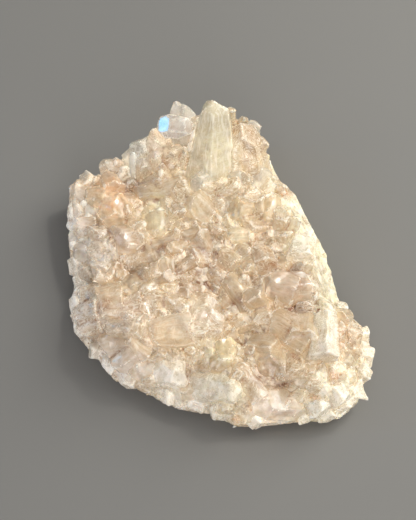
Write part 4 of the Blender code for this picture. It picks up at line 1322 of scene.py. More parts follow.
@dataclass
class Druse:
    """Fine crystals that cover a surface.

    Each is one of a few patterns, scaled and turned. sizes are widths, mostly small ones, and stretch
    is the length in widths. lean is how far each strays from straight out, flowing how much neighbours
    stray together, and rising turns all of them up. Those that reach further past the rim than
    overhang, or lie on the smooth flank, are left out.
    """

    name: str
    ground: Ground
    count: int
    sizes: Span
    stretch: Span
    lean: float
    seed: int
    habits: tuple[Habit, ...] = (POINT, BLUNT, BLOCK)
    patterns: int = 12
    pattern_height: float = 50.0
    pattern_length: float = 2.0
    three_faced: float = 0.6
    end_faces: Span = (0.7, 1.1)
    mostly_small: float = 2.0
    flatness: Span = (0.6, 1.0)
    sunk: float = 0.35
    swirl: float = 9.0
    flowing: float = 0.8
    rising: float = 0.15
    overhang: float = 0.8
    crowded: float = 0.9
    upright: float = 1.0
    flank_free: float = 0.0
    root_inset: float = 0.0
    shifts: Triple = (0.0, 31.4, 62.8)

    def pattern(self, habit: Habit, rng: random.Random) -> Form:
        """One crystal of width 1 and length 1 along z, with its root at the origin.

        Args:
            habit: the kind of crystal.
            rng: where its uneven faces come from.

        Returns:
            The crystal.
        """
        root = Vector((0.0, 0.0, self.pattern_height))
        tip = Vector((0.0, 0.0, self.pattern_height + self.pattern_length))
        ends = 3 if rng.random() < self.three_faced else 6
        kind = Habit(habit.end_slope, ends, *self.end_faces, habit.taper)
        form = crystal(root, tip, 1.0, 1.0, 0.0, kind, rng)
        form.points[:, 2] = (form.points[:, 2] - self.pattern_height) / self.pattern_length
        return form

    def flow(self, place: Vector) -> list[float]:
        """The way in which the crystals about a place lean together."""
        return [noise.noise(place + Vector((shift, -shift, 0.5 * shift))) for shift in self.shifts]

    def seats(
        self, ground: Form, share: np.ndarray, rng: np.random.Generator
    ) -> tuple[np.ndarray, np.ndarray]:
        """Picks places on a surface, by area.

        Args:
            ground: the surface.
            share: how thickly each face is covered, compared with the others.
            rng: where the choice comes from.

        Returns:
            The places and the directions that face out of the surface there.
        """
        corners, shares = [], []
        for face, weight in zip(ground.faces, share):
            if weight <= 0.0:
                continue
            for second, third in zip(face[1:], face[2:]):
                corners.append((face[0], second, third))
                shares.append(weight)
        a, b, c = (ground.points[np.array(corners)[:, i]] for i in range(3))
        normals = np.cross(b - a, c - a)
        areas = np.linalg.norm(normals, axis=1) + 1e-9
        chance = areas * np.array(shares)
        picked = rng.choice(len(chance), self.count, p=chance / chance.sum())
        first, second = rng.random((2, self.count, 1))
        over = first + second > 1.0
        first, second = np.where(over, 1.0 - first, first), np.where(over, 1.0 - second, second)
        places = a[picked] + first * (b - a)[picked] + second * (c - a)[picked]
        return places, (normals / areas[:, None])[picked]

    def build(
        self, ground: Form, share: np.ndarray, taken: Discs | None = None
    ) -> Gathering:
        """Scatters the crystals over a surface.

        Args:
            ground: the surface they grow on.
            share: how thickly each face is covered.
            taken: the places and radii in plan that are kept free.

        Returns:
            The crystals.
        """
        chance = random.Random(self.seed)
        rng = np.random.default_rng(self.seed)
        places, out = self.seats(ground, share, rng)
        leaning = rng.normal(0.0, self.lean, (self.count, 3))
        flow = np.array([self.flow(Vector(place) / self.swirl) for place in places])
        along = self.upright * out + leaning + self.flowing * self.lean * flow
        along[:, 2] += self.rising
        along /= np.linalg.norm(along, axis=1)[:, None]
        aside = np.cross(along, rng.normal(0.0, 1.0, (self.count, 3)))
        aside /= np.linalg.norm(aside, axis=1)[:, None]
        across = np.cross(along, aside)
        small, large = self.sizes
        width = small + (large - small) * rng.random(self.count) ** self.mostly_small
        length = width * rng.uniform(*self.stretch, self.count)
        depth = width * rng.uniform(*self.flatness, self.count)
        axes = np.stack([aside * width[:, None], across * depth[:, None], along * length[:, None]], 1)
        roots = places - along * (self.sunk * width)[:, None]
        tips = roots + along * length[:, None]
        kinds = rng.integers(0, self.patterns, self.count)
        outwards = np.maximum(self.ground.beyond(tips), self.ground.beyond(places) + self.root_inset)
        kinds[outwards > self.overhang] = -1
        kinds[on_flank(places) & (outwards > -self.flank_free)] = -1
        for place, radius in taken or ():
            for spot in (places, tips):
                kinds[np.linalg.norm(spot[:, :2] - np.array(place), axis=1) < self.crowded * radius] = -1
        gathered = Gathering(self.name)
        for kind in range(self.patterns):
            form = self.pattern(self.habits[kind % len(self.habits)], chance)
            for index in np.flatnonzero(kinds == kind):
                points = form.points @ axes[index] + roots[index]
                points[:, 2] = np.maximum(points[:, 2], LOWEST_POINT)
                scale = np.array([width[index], width[index], length[index]])
                gathered.add(Form(points, form.faces, form.points * scale), float(rng.random()))
        return gathered


@dataclass(frozen=True)
class Step:
    """A smooth step: start below low, end above high."""

    low: float
    high: float
    start: float = 0.0
    end: float = 1.0


# How the masks in the shaders turn into colour and height.
MOTTLE = Step(0.32, 0.68, -0.5, 0.5)  # the clouds that shift all colours
HOLLOW_STAIN_AND_SHADE = Step(0.05, 0.6, 0.0, 0.65)  # the earthy brown of hollows, partly staining and partly painted shade
OPEN_STAIN_AND_SHADE = Step(-0.7, 0.05, 0.3, 1.0)  # an earthy spot, partly staining and partly painted shade, is weaker where the surface stands free
OWN_VALUE = Step(0.0, 1.0, 0.94, 1.05)  # some crystals are a little paler than others
MILK = Step(0.44, 0.66)
CRACK = Step(0.006, 0.03, 1.0, 0.0)
LINE_PATCHES = Step(0.34, 0.54, 0.3, 1.0)  # lines are plain in some patches and faint in others
LINE_STRENGTH = Step(0.1, 0.5, 0.3, 1.0)  # and on some crystals
STREAK = Step(0.5, 0.62)
PALE_LINE = Step(0.4, 0.95)
DARK_LINE = Step(-0.95, -0.3, 1.0, 0.0)
WORN_AND_HIGHLIGHT_PATCHES = Step(0.34, 0.54, 0.2, 1.0)  # the pale edges, partly rubbed and partly painted highlight, come and go


class Wiring:
    """Short ways to place and join the nodes of one shader tree."""

    # A Mix node's sockets for colours share their names with those for numbers.
    MIX_FIRST = 6
    MIX_SECOND = 7
    MIX_RESULT = 2

    def __init__(self, tree: Tree) -> None:
        """Keeps the tree."""
        self.tree = tree

    def place(self, kind: str, inputs: dict | None = None, **settings: object) -> bpy.types.Node:
        """Adds a node.

        Args:
            kind: the node's type without "ShaderNode".
            inputs: what each input takes: a value, or a socket to join it to.
            settings: the node's own settings.

        Returns:
            The node.
        """
        node = self.tree.nodes.new("ShaderNode" + kind)
        for name, value in settings.items():
            setattr(node, name, value)
        for name, value in (inputs or {}).items():
            self.feed(node.inputs[name], value)
        return node

    def feed(self, socket: Socket, value: object) -> None:
        """Joins a socket to another, or sets its value.

        Args:
            socket: the socket.
            value: the other socket, or the value.
        """
        if isinstance(value, Socket):
            self.tree.links.new(value, socket)
        else:
            socket.default_value = value

    def stored(self, name: str, output: str = "Fac") -> Socket:
        """Reads what the mesh carries at each point.

        Args:
            name: the attribute's name.
            output: which output of the node, "Fac" for a number.

        Returns:
            The output.
        """
        return self.place("Attribute", attribute_name=name).outputs[output]

    def where(self) -> Socket:
        """The place in the object's own frame, in metres."""
        return self.place("TexCoord").outputs["Object"]

    def maths(self, operation: str, *values: object, clamp: bool = False) -> Socket:
        """Places a sum.

        Args:
            operation: what it does.
            values: the numbers or sockets that it works on.
            clamp: whether the result stays within 0 and 1.

        Returns:
            The result.
        """
        node = self.place("Math", operation=operation, use_clamp=clamp)
        for socket, value in zip(node.inputs, values):
            self.feed(socket, value)
        return node.outputs[0]

    def ramp(self, value: Socket, step: Step) -> Socket:
        """Places a smooth step.

        Args:
            value: what the step depends on.
            step: where it lies and what it gives.

        Returns:
            The result.
        """
        limits = {"From Min": step.low, "From Max": step.high, "To Min": step.start, "To Max": step.end}
        node = self.place("MapRange", {"Value": value, **limits}, interpolation_type="SMOOTHSTEP")
        return node.outputs["Result"]

    def blend(self, share: object, first: object, second: object) -> Socket:
        """Mixes two colours.

        Args:
            share: how much of the second colour there is.
            first: a colour or a socket.
            second: a colour or a socket.

        Returns:
            The mixed colour.
        """
        node = self.place("Mix", {"Factor": share}, data_type="RGBA")
        self.feed(node.inputs[self.MIX_FIRST], first)
        self.feed(node.inputs[self.MIX_SECOND], second)
        return node.outputs[self.MIX_RESULT]


def new_group(
    name: str, inputs: dict[str, tuple[str, object]], outputs: dict[str, str]
) -> tuple[Tree, Wiring, dict[str, Socket], bpy.types.Node]:
    """Starts a shader node group.

    Args:
        name: the group's name.
        inputs: each input's socket type and default value.
        outputs: each output's socket type.

    Returns:
        The tree, its wiring, its inputs by name, and the node that its outputs are fed to.
    """
    tree = bpy.data.node_groups.new(name, "ShaderNodeTree")
    for label, (kind, value) in inputs.items():
        socket = tree.interface.new_socket(name=label, in_out="INPUT", socket_type="NodeSocket" + kind)
        socket.default_value = value
    for label, kind in outputs.items():
        tree.interface.new_socket(name=label, in_out="OUTPUT", socket_type="NodeSocket" + kind)
    wiring = Wiring(tree)
    given = tree.nodes.new("NodeGroupInput")
    made = tree.nodes.new("NodeGroupOutput")
    return tree, wiring, {label: given.outputs[label] for label in inputs}, made


@functools.cache
def tint_group() -> Tree:
    """Mixes the quartz's colours by the masks that each mesh carries.

    Returns:
        The group.
    """
    colours = ("Quartz", "Cream", "Cool", "Iron", "Earth_and_shade")
    inputs: dict[str, tuple[str, object]] = {name: ("Color", (0.8, 0.8, 0.8, 1.0)) for name in colours}
    inputs["Mottle"] = ("Float", 0.3)
    tree, w, given, made = new_group("quartz tint", inputs, {"Color": "Color"})
    cloud = w.place("TexNoise", {"Vector": w.where(), "Scale": 260.0, "Detail": 3.0, "Roughness": 0.6})
    drift = w.maths("MULTIPLY", w.ramp(cloud.outputs["Fac"], MOTTLE), given["Mottle"])
    # Hollows and creases are painted earthy brown, partly as staining and partly as painted shade where
    # the crystals cast no shadow, and earthy spots are strongest there.
    tone = w.place("Attribute", attribute_name="tone")
    cream, cool, iron = w.place("SeparateColor", {"Color": tone.outputs["Color"]}).outputs
    hollow = w.stored("hollow")
    crease = w.stored("crease")
    broad = w.ramp(w.maths("MULTIPLY_ADD", drift, 0.2, hollow), HOLLOW_STAIN_AND_SHADE)
    sharp = w.maths("POWER", crease, 6.0)
    thin = w.maths("MULTIPLY_ADD", sharp, 0.35, w.maths("MULTIPLY", crease, 0.55))
    deep = w.maths("MAXIMUM", thin, broad)
    low = w.maths("MULTIPLY", tone.outputs["Alpha"], w.ramp(hollow, OPEN_STAIN_AND_SHADE))
    # The earthy mask paints brown that is partly staining and partly painted shade.
    earth_and_shade = w.maths("MAXIMUM", deep, low)
    colour = given["Quartz"]
    for name, mask in zip(colours[1:], (cream, cool, iron, earth_and_shade)):
        spread = w.maths("MULTIPLY_ADD", drift, w.maths("MULTIPLY", mask, 2.0), mask, clamp=True)
        colour = w.blend(spread, colour, given[name])
    shift = w.maths("MULTIPLY_ADD", drift, 0.35, w.ramp(w.stored("own"), OWN_VALUE))
    final = w.place("HueSaturation", {"Color": colour, "Value": shift})
    w.feed(made.inputs["Color"], final.outputs["Color"])
    return tree


@functools.cache
def growth_group() -> Tree:
    """Fine lines across the side faces of a crystal, and soft waves over all its faces.

    Returns:
        The group.
    """
    inputs = {"Lines": ("Float", 1.0), "Waves": ("Float", 1.0), "Spacing": ("Float", 0.6)}
    tree, w, given, made = new_group("growth lines", inputs, {"Height": "Float"})
    grown = w.stored("growth", "Vector")
    x, y, z = w.place("SeparateXYZ", {"Vector": grown}).outputs
    rate = w.maths("DIVIDE", 1.0, given["Spacing"])
    along = w.maths("MULTIPLY_ADD", z, rate, w.maths("MULTIPLY", w.stored("own"), 40.0))
    drawn = {"X": w.maths("MULTIPLY", x, 0.22), "Y": w.maths("MULTIPLY", y, 0.22), "Z": along}
    place = w.place("CombineXYZ", drawn).outputs[0]
    lines = w.place("TexNoise", {"Vector": place, "Scale": 1.0, "Detail": 3.0, "Roughness": 0.65})
    waves = w.place("TexNoise", {"Vector": grown, "Scale": 0.45, "Detail": 2.0, "Distortion": 0.8})
    lines_height = w.maths("MULTIPLY", lines.outputs["Fac"], given["Lines"])
    height = w.maths("MULTIPLY_ADD", waves.outputs["Fac"], given["Waves"], lines_height)
    w.feed(made.inputs["Height"], height)
    return tree


@functools.cache
def veil_group() -> Tree:
    """Milky clouds and thin healed cracks in a crystal.

    Returns:
        The group.
    """
    inputs = {"Size": ("Float", 1.0), "Clouds": ("Float", 0.5), "Cracks": ("Float", 0.5)}
    tree, w, given, made = new_group("veils", inputs, {"Mask": "Float"})
    where = w.where()
    scale = w.maths("DIVIDE", 160.0, given["Size"])
    soft = {"Detail": 4.0, "Roughness": 0.62, "Distortion": 0.6}
    cloud = w.place("TexNoise", {"Vector": where, "Scale": scale, **soft})
    cloudy = w.ramp(cloud.outputs["Fac"], MILK)
    fine = w.maths("MULTIPLY", scale, 2.4)
    torn = {"Detail": 3.0, "Roughness": 0.5, "Distortion": 1.6}
    crack = w.place("TexNoise", {"Vector": where, "Scale": fine, **torn})
    off = w.maths("ABSOLUTE", w.maths("SUBTRACT", crack.outputs["Fac"], 0.5))
    clouds = w.maths("MULTIPLY", cloudy, given["Clouds"])
    cracks = w.maths("MULTIPLY", w.ramp(off, CRACK), given["Cracks"])
    w.feed(made.inputs["Mask"], w.maths("MAXIMUM", clouds, cracks))
    return tree


@functools.cache
def grain_group() -> Tree:
    """Sugary grains with flat faces that lie each its own way.

    Returns:
        The group.
    """
    outputs = {"Height": "Float", "Grain": "Float"}
    tree, w, given, made = new_group("sugary grain", {"Size": ("Float", 1.0)}, outputs)
    where = w.where()
    scale = w.maths("DIVIDE", 700.0, given["Size"])
    finer = w.maths("MULTIPLY", scale, 2.3)
    cells = w.place("TexVoronoi", {"Vector": where, "Scale": scale, "Randomness": 1.0}, feature="F1")
    small = w.place("TexVoronoi", {"Vector": where, "Scale": finer}, feature="F1")
    coarse = w.maths("MULTIPLY", cells.outputs["Distance"], -1.0)
    height = w.maths("MULTIPLY_ADD", small.outputs["Distance"], -0.4, coarse)
    tint = w.place("SeparateColor", {"Color": cells.outputs["Color"]})
    w.feed(made.inputs["Height"], height)
    w.feed(made.inputs["Grain"], tint.outputs[0])
    return tree


@functools.cache
def swirl_group() -> Tree:
    """Thin curling lines, pale and dark, that follow the layers in which a crystal grew.

    Returns:
        The group.
    """
    sizes = {"Size": 5.0, "Layers": 12.0, "Rings": 3.0, "Streaks": 0.0}
    inputs = {name: ("Float", size) for name, size in sizes.items()}
    outputs = {"Pale": "Float", "Dark": "Float", "Height": "Float"}
    tree, w, given, made = new_group("swirls", inputs, outputs)
    own = w.stored("own")
    apart = w.maths("MULTIPLY", own, 90.0)
    moved = w.place("VectorMath", {0: w.stored("growth", "Vector"), 1: apart}, operation="ADD").outputs[0]
    # Lines follow the layers, and run round the hollows.
    scale = w.maths("DIVIDE", 1.0, given["Size"])
    soft = {"Detail": 1.5, "Roughness": 0.4, "Distortion": 0.7}
    layer = w.place("TexNoise", {"Vector": moved, "Scale": scale, **soft})
    layers = w.maths("MULTIPLY", layer.outputs["Fac"], given["Layers"])
    both = w.maths("MULTIPLY_ADD", w.stored("hollow"), given["Rings"], layers)
    wave = w.maths("SINE", w.maths("MULTIPLY", both, math.tau))
    patch = w.place("TexNoise", {"Vector": moved, "Scale": 0.35, "Detail": 2.0})
    kind = w.maths("FRACT", w.maths("MULTIPLY", own, LINE_KINDS))
    plain = w.ramp(patch.outputs["Fac"], LINE_PATCHES)
    here = w.maths("MULTIPLY", plain, w.ramp(kind, LINE_STRENGTH))
    # Streaks are long drawn along the crystal.
    x, y, z = w.place("SeparateXYZ", {"Vector": moved}).outputs
    drawn = w.place("CombineXYZ", {"X": x, "Y": y, "Z": w.maths("MULTIPLY", z, 0.07)}).outputs[0]
    streak = w.place("TexNoise", {"Vector": drawn, "Scale": 0.9, "Detail": 3.0, "Roughness": 0.6})
    streaks = w.maths("MULTIPLY", w.ramp(streak.outputs["Fac"], STREAK), given["Streaks"])
    pale = w.maths("MULTIPLY", w.ramp(wave, PALE_LINE), here)
    w.feed(made.inputs["Pale"], w.maths("MAXIMUM", pale, streaks))
    w.feed(made.inputs["Dark"], w.maths("MULTIPLY", w.ramp(wave, DARK_LINE), here))
    w.feed(made.inputs["Height"], w.maths("MULTIPLY", wave, here))
    return tree


@dataclass(frozen=True)
class Palette:
    """The quartz's own colour and what it turns to by the rims, the stains and the hollows. The rim
    colours are partly painted light, and the brown of hollows and creases is partly painted shade.
    """

    quartz: Colour
    # cream and cool are partly the quartz's own colour at the rims and partly painted light
    cream: Colour
    cool: Colour
    iron: Colour
    # the brown of stains and of painted shade in hollows and creases
    earth_and_shade: Colour

    def feed(self, wiring: Wiring, mottle: float) -> Socket:
        """Places the tint group with these colours.

        Args:
            wiring: the tree that it goes in.
            mottle: how uneven the colour is.

        Returns:
            The mixed colour.
        """
        names = ("quartz", "cream", "cool", "iron", "earth_and_shade")
        colours = {name.capitalize(): srgb(*getattr(self, name)) for name in names}
        group = wiring.place("Group", {**colours, "Mottle": mottle}, node_tree=tint_group())
        return group.outputs["Color"]


def new_material(name: str) -> tuple[bpy.types.Material, Wiring, bpy.types.Node]:
    """Starts a material.

    Args:
        name: its name.

    Returns:
        The material, the wiring of its tree and its main shader.
    """
    material = bpy.data.materials.new(name)
    material.use_nodes = True
    tree = material.node_tree
    return material, Wiring(tree), tree.nodes["Principled BSDF"]


QUARTZ_IOR = 1.544
GROUND_COLOURS = Palette(
    (180, 153, 118), (208, 198, 164), (196, 184, 170), (196, 150, 106), (118, 76, 44)
)
MILKY_COLOURS = Palette(
    (200, 177, 142), (218, 205, 172), (240, 227, 215), (208, 174, 134), (150, 102, 60)
)
CLEAR_COLOURS = Palette(
    (208, 190, 157), (222, 210, 180), (236, 228, 220), (212, 184, 148), (166, 122, 78)
)
LILAC_COLOURS = Palette(
    (192, 179, 167), (222, 210, 194), (204, 196, 190), (212, 194, 176), (176, 156, 140)
)
STRIATED_COLOURS = Palette(
    (210, 201, 176), (238, 230, 200), (204, 198, 186), (208, 184, 148), (170, 144, 112)
)
WHITE_COLOURS = Palette(
    (204, 187, 157), (214, 201, 172), (234, 225, 216), (210, 178, 142), (172, 142, 112)
)
GLASSY_COLOURS = Palette(
    (206, 201, 188), (234, 230, 210), (226, 226, 222), (222, 208, 186), (198, 184, 166)
)
PALE_LINES = srgb(252, 246, 232)
DARK_LINES = srgb(160, 130, 98)


BUMP_DEPTH = 0.0006  # in metres


@dataclass(frozen=True)
class GroundFinish:
    """Grainy massive quartz: it lets light in a little way and isn't clear."""

    name: str = "massive quartz"
    mottle: float = 0.9
    veil_size: float = 0.8
    clouds: float = 0.65
    cracks: float = 0.6
    veil_colour: Colour = (250, 240, 222)
    roughness: float = 0.42
    uneven: float = 0.2
    bump: float = 0.7
    grain: float = 1.2
    glow: float = 0.5
    glow_reach: Triple = (1.0, 0.75, 0.5)
    glow_depth: float = 0.0008

    def make(self) -> bpy.types.Material:
        """Makes the material.

        Returns:
            The material.
        """
        material, w, shader = new_material(self.name)
        colour = GROUND_COLOURS.feed(w, self.mottle)
        veils = {"Size": self.veil_size, "Clouds": self.clouds, "Cracks": self.cracks}
        veil = w.place("Group", veils, node_tree=veil_group())
        paler = w.blend(veil.outputs["Mask"], colour, srgb(*self.veil_colour))
        w.feed(shader.inputs["Base Color"], paler)
        grain = w.place("Group", {"Size": self.grain}, node_tree=grain_group())
        facets = Step(0.0, 1.0, self.roughness - self.uneven, self.roughness + self.uneven)
        w.feed(shader.inputs["Roughness"], w.ramp(grain.outputs["Grain"], facets))
        height = grain.outputs["Height"]
        bump = w.place("Bump", {"Strength": self.bump, "Distance": BUMP_DEPTH, "Height": height})
        w.feed(shader.inputs["Normal"], bump.outputs["Normal"])
        shader.inputs["IOR"].default_value = QUARTZ_IOR
        shader.inputs["Subsurface Weight"].default_value = self.glow
        shader.inputs["Subsurface Radius"].default_value = self.glow_reach
        shader.inputs["Subsurface Scale"].default_value = self.glow_depth
        return material


@dataclass(frozen=True)
class CrystalFinish:
    """A crystal: plain transmission and absorption, with growth lines, veils and pale edges that are
    partly rubbed and partly painted highlight.

    pale and dark are the strengths of its curling lines, and layers and rings say how close these lie.
    veil_pale and worn_and_highlight_pale are how much veils and the pale edges pale it, the edges being
    partly rubbed and partly painted highlight, and veil_roughness and edge_roughness how much they roughen
    it.
    """

    name: str
    colours: Palette
    transmission: float
    roughness: float
    density: float = 12.0
    veil: float = 0.25
    lines: float = 0.3
    waves: float = 0.4
    mottle: float = 0.5
    swirl_size: float = 4.0
    layers: float = 8.0
    rings: float = 2.0
    streaks: float = 0.36
    pale: float = 0.9
    dark: float = 0.7
    veil_size: float = 0.7
    veil_pale: float = 0.7
    veil_roughness: float = 0.25
    worn_and_highlight_pale: float = 0.65
    edge_roughness: float = 0.35
    white: Colour = (255, 252, 244)
    spacing: float = 0.55
    swirl_height: float = 0.15
    bump: float = 0.2
    glow: float = 0.8
    glow_reach: Triple = (1.0, 0.9, 0.8)
    glow_depth: float = 0.001
    absorption: Rgba = (0.96, 0.90, 0.78, 1.0)

    def make(self) -> bpy.types.Material:
        """Makes the material.

        Returns:
            The material.
        """
        material, w, shader = new_material(self.name)
        colour = self.colours.feed(w, self.mottle)
        spaced = {"Size": self.swirl_size, "Layers": self.layers, "Rings": self.rings}
        swirl = w.place("Group", {**spaced, "Streaks": self.streaks}, node_tree=swirl_group())
        colour = w.blend(w.maths("MULTIPLY", swirl.outputs["Dark"], self.dark), colour, DARK_LINES)
        colour = w.blend(w.maths("MULTIPLY", swirl.outputs["Pale"], self.pale), colour, PALE_LINES)
        veils = {"Size": self.veil_size, "Clouds": self.veil, "Cracks": self.veil}
        veil = w.place("Group", veils, node_tree=veil_group()).outputs["Mask"]
        grown = w.stored("growth", "Vector")
        # Edges that stand out are painted pale and rougher: partly rubbed edges, partly painted highlight.
        broken = w.place("TexNoise", {"Vector": grown, "Scale": 0.7, "Detail": 2.0})
        worn_and_highlight = w.maths("MULTIPLY", w.stored("worn_and_highlight"), w.ramp(broken.outputs["Fac"], WORN_AND_HIGHLIGHT_PATCHES))
        veiled = w.maths("MULTIPLY", veil, self.veil_pale)
        pale = w.maths("MAXIMUM", veiled, w.maths("MULTIPLY", worn_and_highlight, self.worn_and_highlight_pale))
        w.feed(shader.inputs["Base Color"], w.blend(pale, colour, srgb(*self.white)))
        rough = w.maths("MULTIPLY_ADD", veil, self.veil_roughness, self.roughness)
        rough = w.maths("MULTIPLY_ADD", worn_and_highlight, self.edge_roughness, rough, clamp=True)
        w.feed(shader.inputs["Roughness"], rough)
        if self.bump:
            steps = {"Lines": self.lines, "Waves": self.waves, "Spacing": self.spacing}
            growth = w.place("Group", steps, node_tree=growth_group()).outputs["Height"]
            height = w.maths("MULTIPLY_ADD", swirl.outputs["Height"], self.swirl_height, growth)
            bump = w.place("Bump", {"Strength": self.bump, "Distance": BUMP_DEPTH, "Height": height})
            w.feed(shader.inputs["Normal"], bump.outputs["Normal"])
        shader.inputs["IOR"].default_value = QUARTZ_IOR
        shader.inputs["Transmission Weight"].default_value = self.transmission
        shader.inputs["Subsurface Weight"].default_value = self.glow
        shader.inputs["Subsurface Radius"].default_value = self.glow_reach
        shader.inputs["Subsurface Scale"].default_value = self.glow_depth
        absorb = w.place("VolumeAbsorption", {"Color": self.absorption, "Density": self.density})
        output = material.node_tree.nodes["Material Output"]
        w.feed(output.inputs["Volume"], absorb.outputs["Volume"])
        return material


CRYSTAL_FINISHES = {
    FLASH: CrystalFinish(
        "window quartz", LILAC_COLOURS, transmission=0.58, roughness=0.0, density=6.0, veil=0.7,
        rings=0.0, pale=0.45, dark=0.5, bump=0.0,
    ),
    GLASSY: CrystalFinish(
        "glassy quartz", GLASSY_COLOURS, transmission=0.62, roughness=0.03, density=6.0, veil=0.3,
        lines=0.2, pale=0.6, dark=0.3,
    ),
    STRIATED: CrystalFinish(
        "striated quartz", STRIATED_COLOURS, transmission=0.5, roughness=0.1, density=16.0, veil=0.3,
        waves=0.3, streaks=0.7, pale=1.0, dark=0.35, bump=0.15, glow=0.6,
    ),
    CLEAR: CrystalFinish("clear quartz", CLEAR_COLOURS, transmission=0.66, roughness=0.06),
    MILKY: CrystalFinish("milky quartz", MILKY_COLOURS, transmission=0.5, roughness=0.1),
    WHITE: CrystalFinish(
        "white quartz", WHITE_COLOURS, transmission=0.2, roughness=0.2, veil=0.6, waves=0.6, dark=0.2
    ),
}


@dataclass(frozen=True)
class TableFinish:
    """The plain grey table, a shade paler and darker in soft patches."""

    colour: Colour = (115, 112, 107)
    shade: int = 2
    patches: float = 6.0
    roughness: float = 0.75

    def make(self) -> bpy.types.Material:
        """Makes the material.

        Returns:
            The material.
        """
        material, w, shader = new_material("grey table")
        cloud = w.place("TexNoise", {"Vector": w.where(), "Scale": self.patches, "Detail": 3.0})
        pale = srgb(*(value + self.shade for value in self.colour))
        dark = srgb(*(value - self.shade for value in self.colour))
        w.feed(shader.inputs["Base Color"], w.blend(cloud.outputs["Fac"], dark, pale))
        shader.inputs["Roughness"].default_value = self.roughness
        return material


@dataclass(frozen=True)
class Lamp:
    """A square lamp that points at the cluster, with its place and side in metres."""

    name: str
    place: Triple
    size: float
    power: float
    colour: Triple
    target: Triple = (0.0, 0.0, 0.02)

    def hang(self) -> None:
        """Hangs it in the scene."""
        light = bpy.data.lights.new(self.name, "AREA")
        light.shape = "SQUARE"
        light.size = self.size
        light.energy = self.power
        light.color = self.colour
        lamp = bpy.data.objects.new(self.name, light)
        lamp.location = self.place
        ray = Vector(self.target) - Vector(self.place)
        lamp.rotation_euler = ray.to_track_quat("-Z", "Y").to_euler()
        bpy.context.scene.collection.objects.link(lamp)


# A broad key from the upper right with a small bright one, and soft light from the left and front.
LAMPS = (
    Lamp("key", (0.58, 0.3, 0.46), 0.7, 7.75, (0.96, 0.985, 0.955)),
    Lamp("spark", (0.4, 0.4, 0.7), 0.06, 1.2, (1.0, 0.99, 0.97)),
    Lamp("left", (-0.9, -0.15, 0.14), 0.3, 1.4, (1.0, 0.96, 0.95)),
    Lamp("fill", (0.12, -0.86, 0.34), 0.6, 4.0, (0.97, 0.98, 1.0)),
)


@dataclass
class Studio:
    """The table, the lights and the camera.

    Its sizes are in metres, but aim and mirror are places (u, v) on the display face, with a height.
    """

    distance: float = 1.5
    view_height: float = 0.208
    aim: Triple = (-4.0, 1.6, 20.0)
    sensor: float = 36.0
    nearest: float = 0.01
    mirror: Triple = (-22.2, 55.0, 38.0)
    mirror_slope: Span = (-0.66, 0.13)
    window_distance: float = 1.0
    window_size: float = 0.09
    window_power: float = 0.55
    window_colour: Triple = (0.0, 0.48, 1.0)
    sky: Rgba = (0.95, 0.955, 0.98, 1.0)
    sky_strength: float = 0.53
    table_size: float = 3.0
    bounces: int = 20
    surface_bounces: int = 6

    def table(self) -> None:
        """Lays the table under the cluster."""
        bm = bmesh.new()
        bmesh.ops.create_grid(bm, x_segments=8, y_segments=8, size=self.table_size / 2)
        mesh = bpy.data.meshes.new("table")
        bm.to_mesh(mesh)
        bm.free()
        mesh.materials.append(TableFinish().make())
        table = bpy.data.objects.new("table", mesh)
        bpy.context.scene.collection.objects.link(table)

    def lights(self) -> None:
        """Hangs the lamps and sets an even sky."""
        for lamp in LAMPS:
            lamp.hang()
        self.window().hang()
        world = bpy.data.worlds.new("soft room")
        world.use_nodes = True
        background = world.node_tree.nodes["Background"]
        background.inputs["Color"].default_value = self.sky
        background.inputs["Strength"].default_value = self.sky_strength
        bpy.context.scene.world = world

    def window(self) -> Lamp:
        """A small cool lamp where the flat face of the flash crystal mirrors it.

        Returns:
            The lamp.
        """
        face = (seen(*self.mirror) - Vector((*BOX_MIDDLE, 0.0))) * MM
        u, v = self.mirror_slope
        normal = (FACE_OUT + FACE_RIGHT * u + FACE_UP * v).normalized()
        eye = (self.eye() - face).normalized()
        ray = 2.0 * eye.dot(normal) * normal - eye
        place = tuple(face + ray * self.window_distance)
        return Lamp("window", place, self.window_size, self.window_power, self.window_colour)

    def eye(self) -> Vector:
        """Where the camera stands."""
        return (seen(*self.aim) - Vector((*BOX_MIDDLE, 0.0))) * MM + self.distance * FACE_OUT

    def camera(self) -> None:
        """Sets the camera over the display face."""
        lens = bpy.data.cameras.new("camera")
        lens.sensor_fit = "VERTICAL"
        lens.sensor_height = self.sensor
        lens.lens = self.sensor * self.distance / self.view_height
        lens.clip_start = self.nearest
        camera = bpy.data.objects.new("camera", lens)
        camera.location = self.eye()
        camera.rotation_euler = (math.pi / 2 - VIEW_ELEVATION, 0.0, 0.0)
        bpy.context.scene.collection.objects.link(camera)
        bpy.context.scene.camera = camera

    def build(self) -> None:
        """Sets up everything round the cluster."""
        self.table()
        self.lights()
        self.camera()
        scene = bpy.context.scene
        scene.view_settings.view_transform = "Standard"
        scene.cycles.max_bounces = self.bounces
        scene.cycles.diffuse_bounces = self.surface_bounces
        scene.cycles.glossy_bounces = self.surface_bounces
        scene.cycles.transmission_bounces = self.bounces


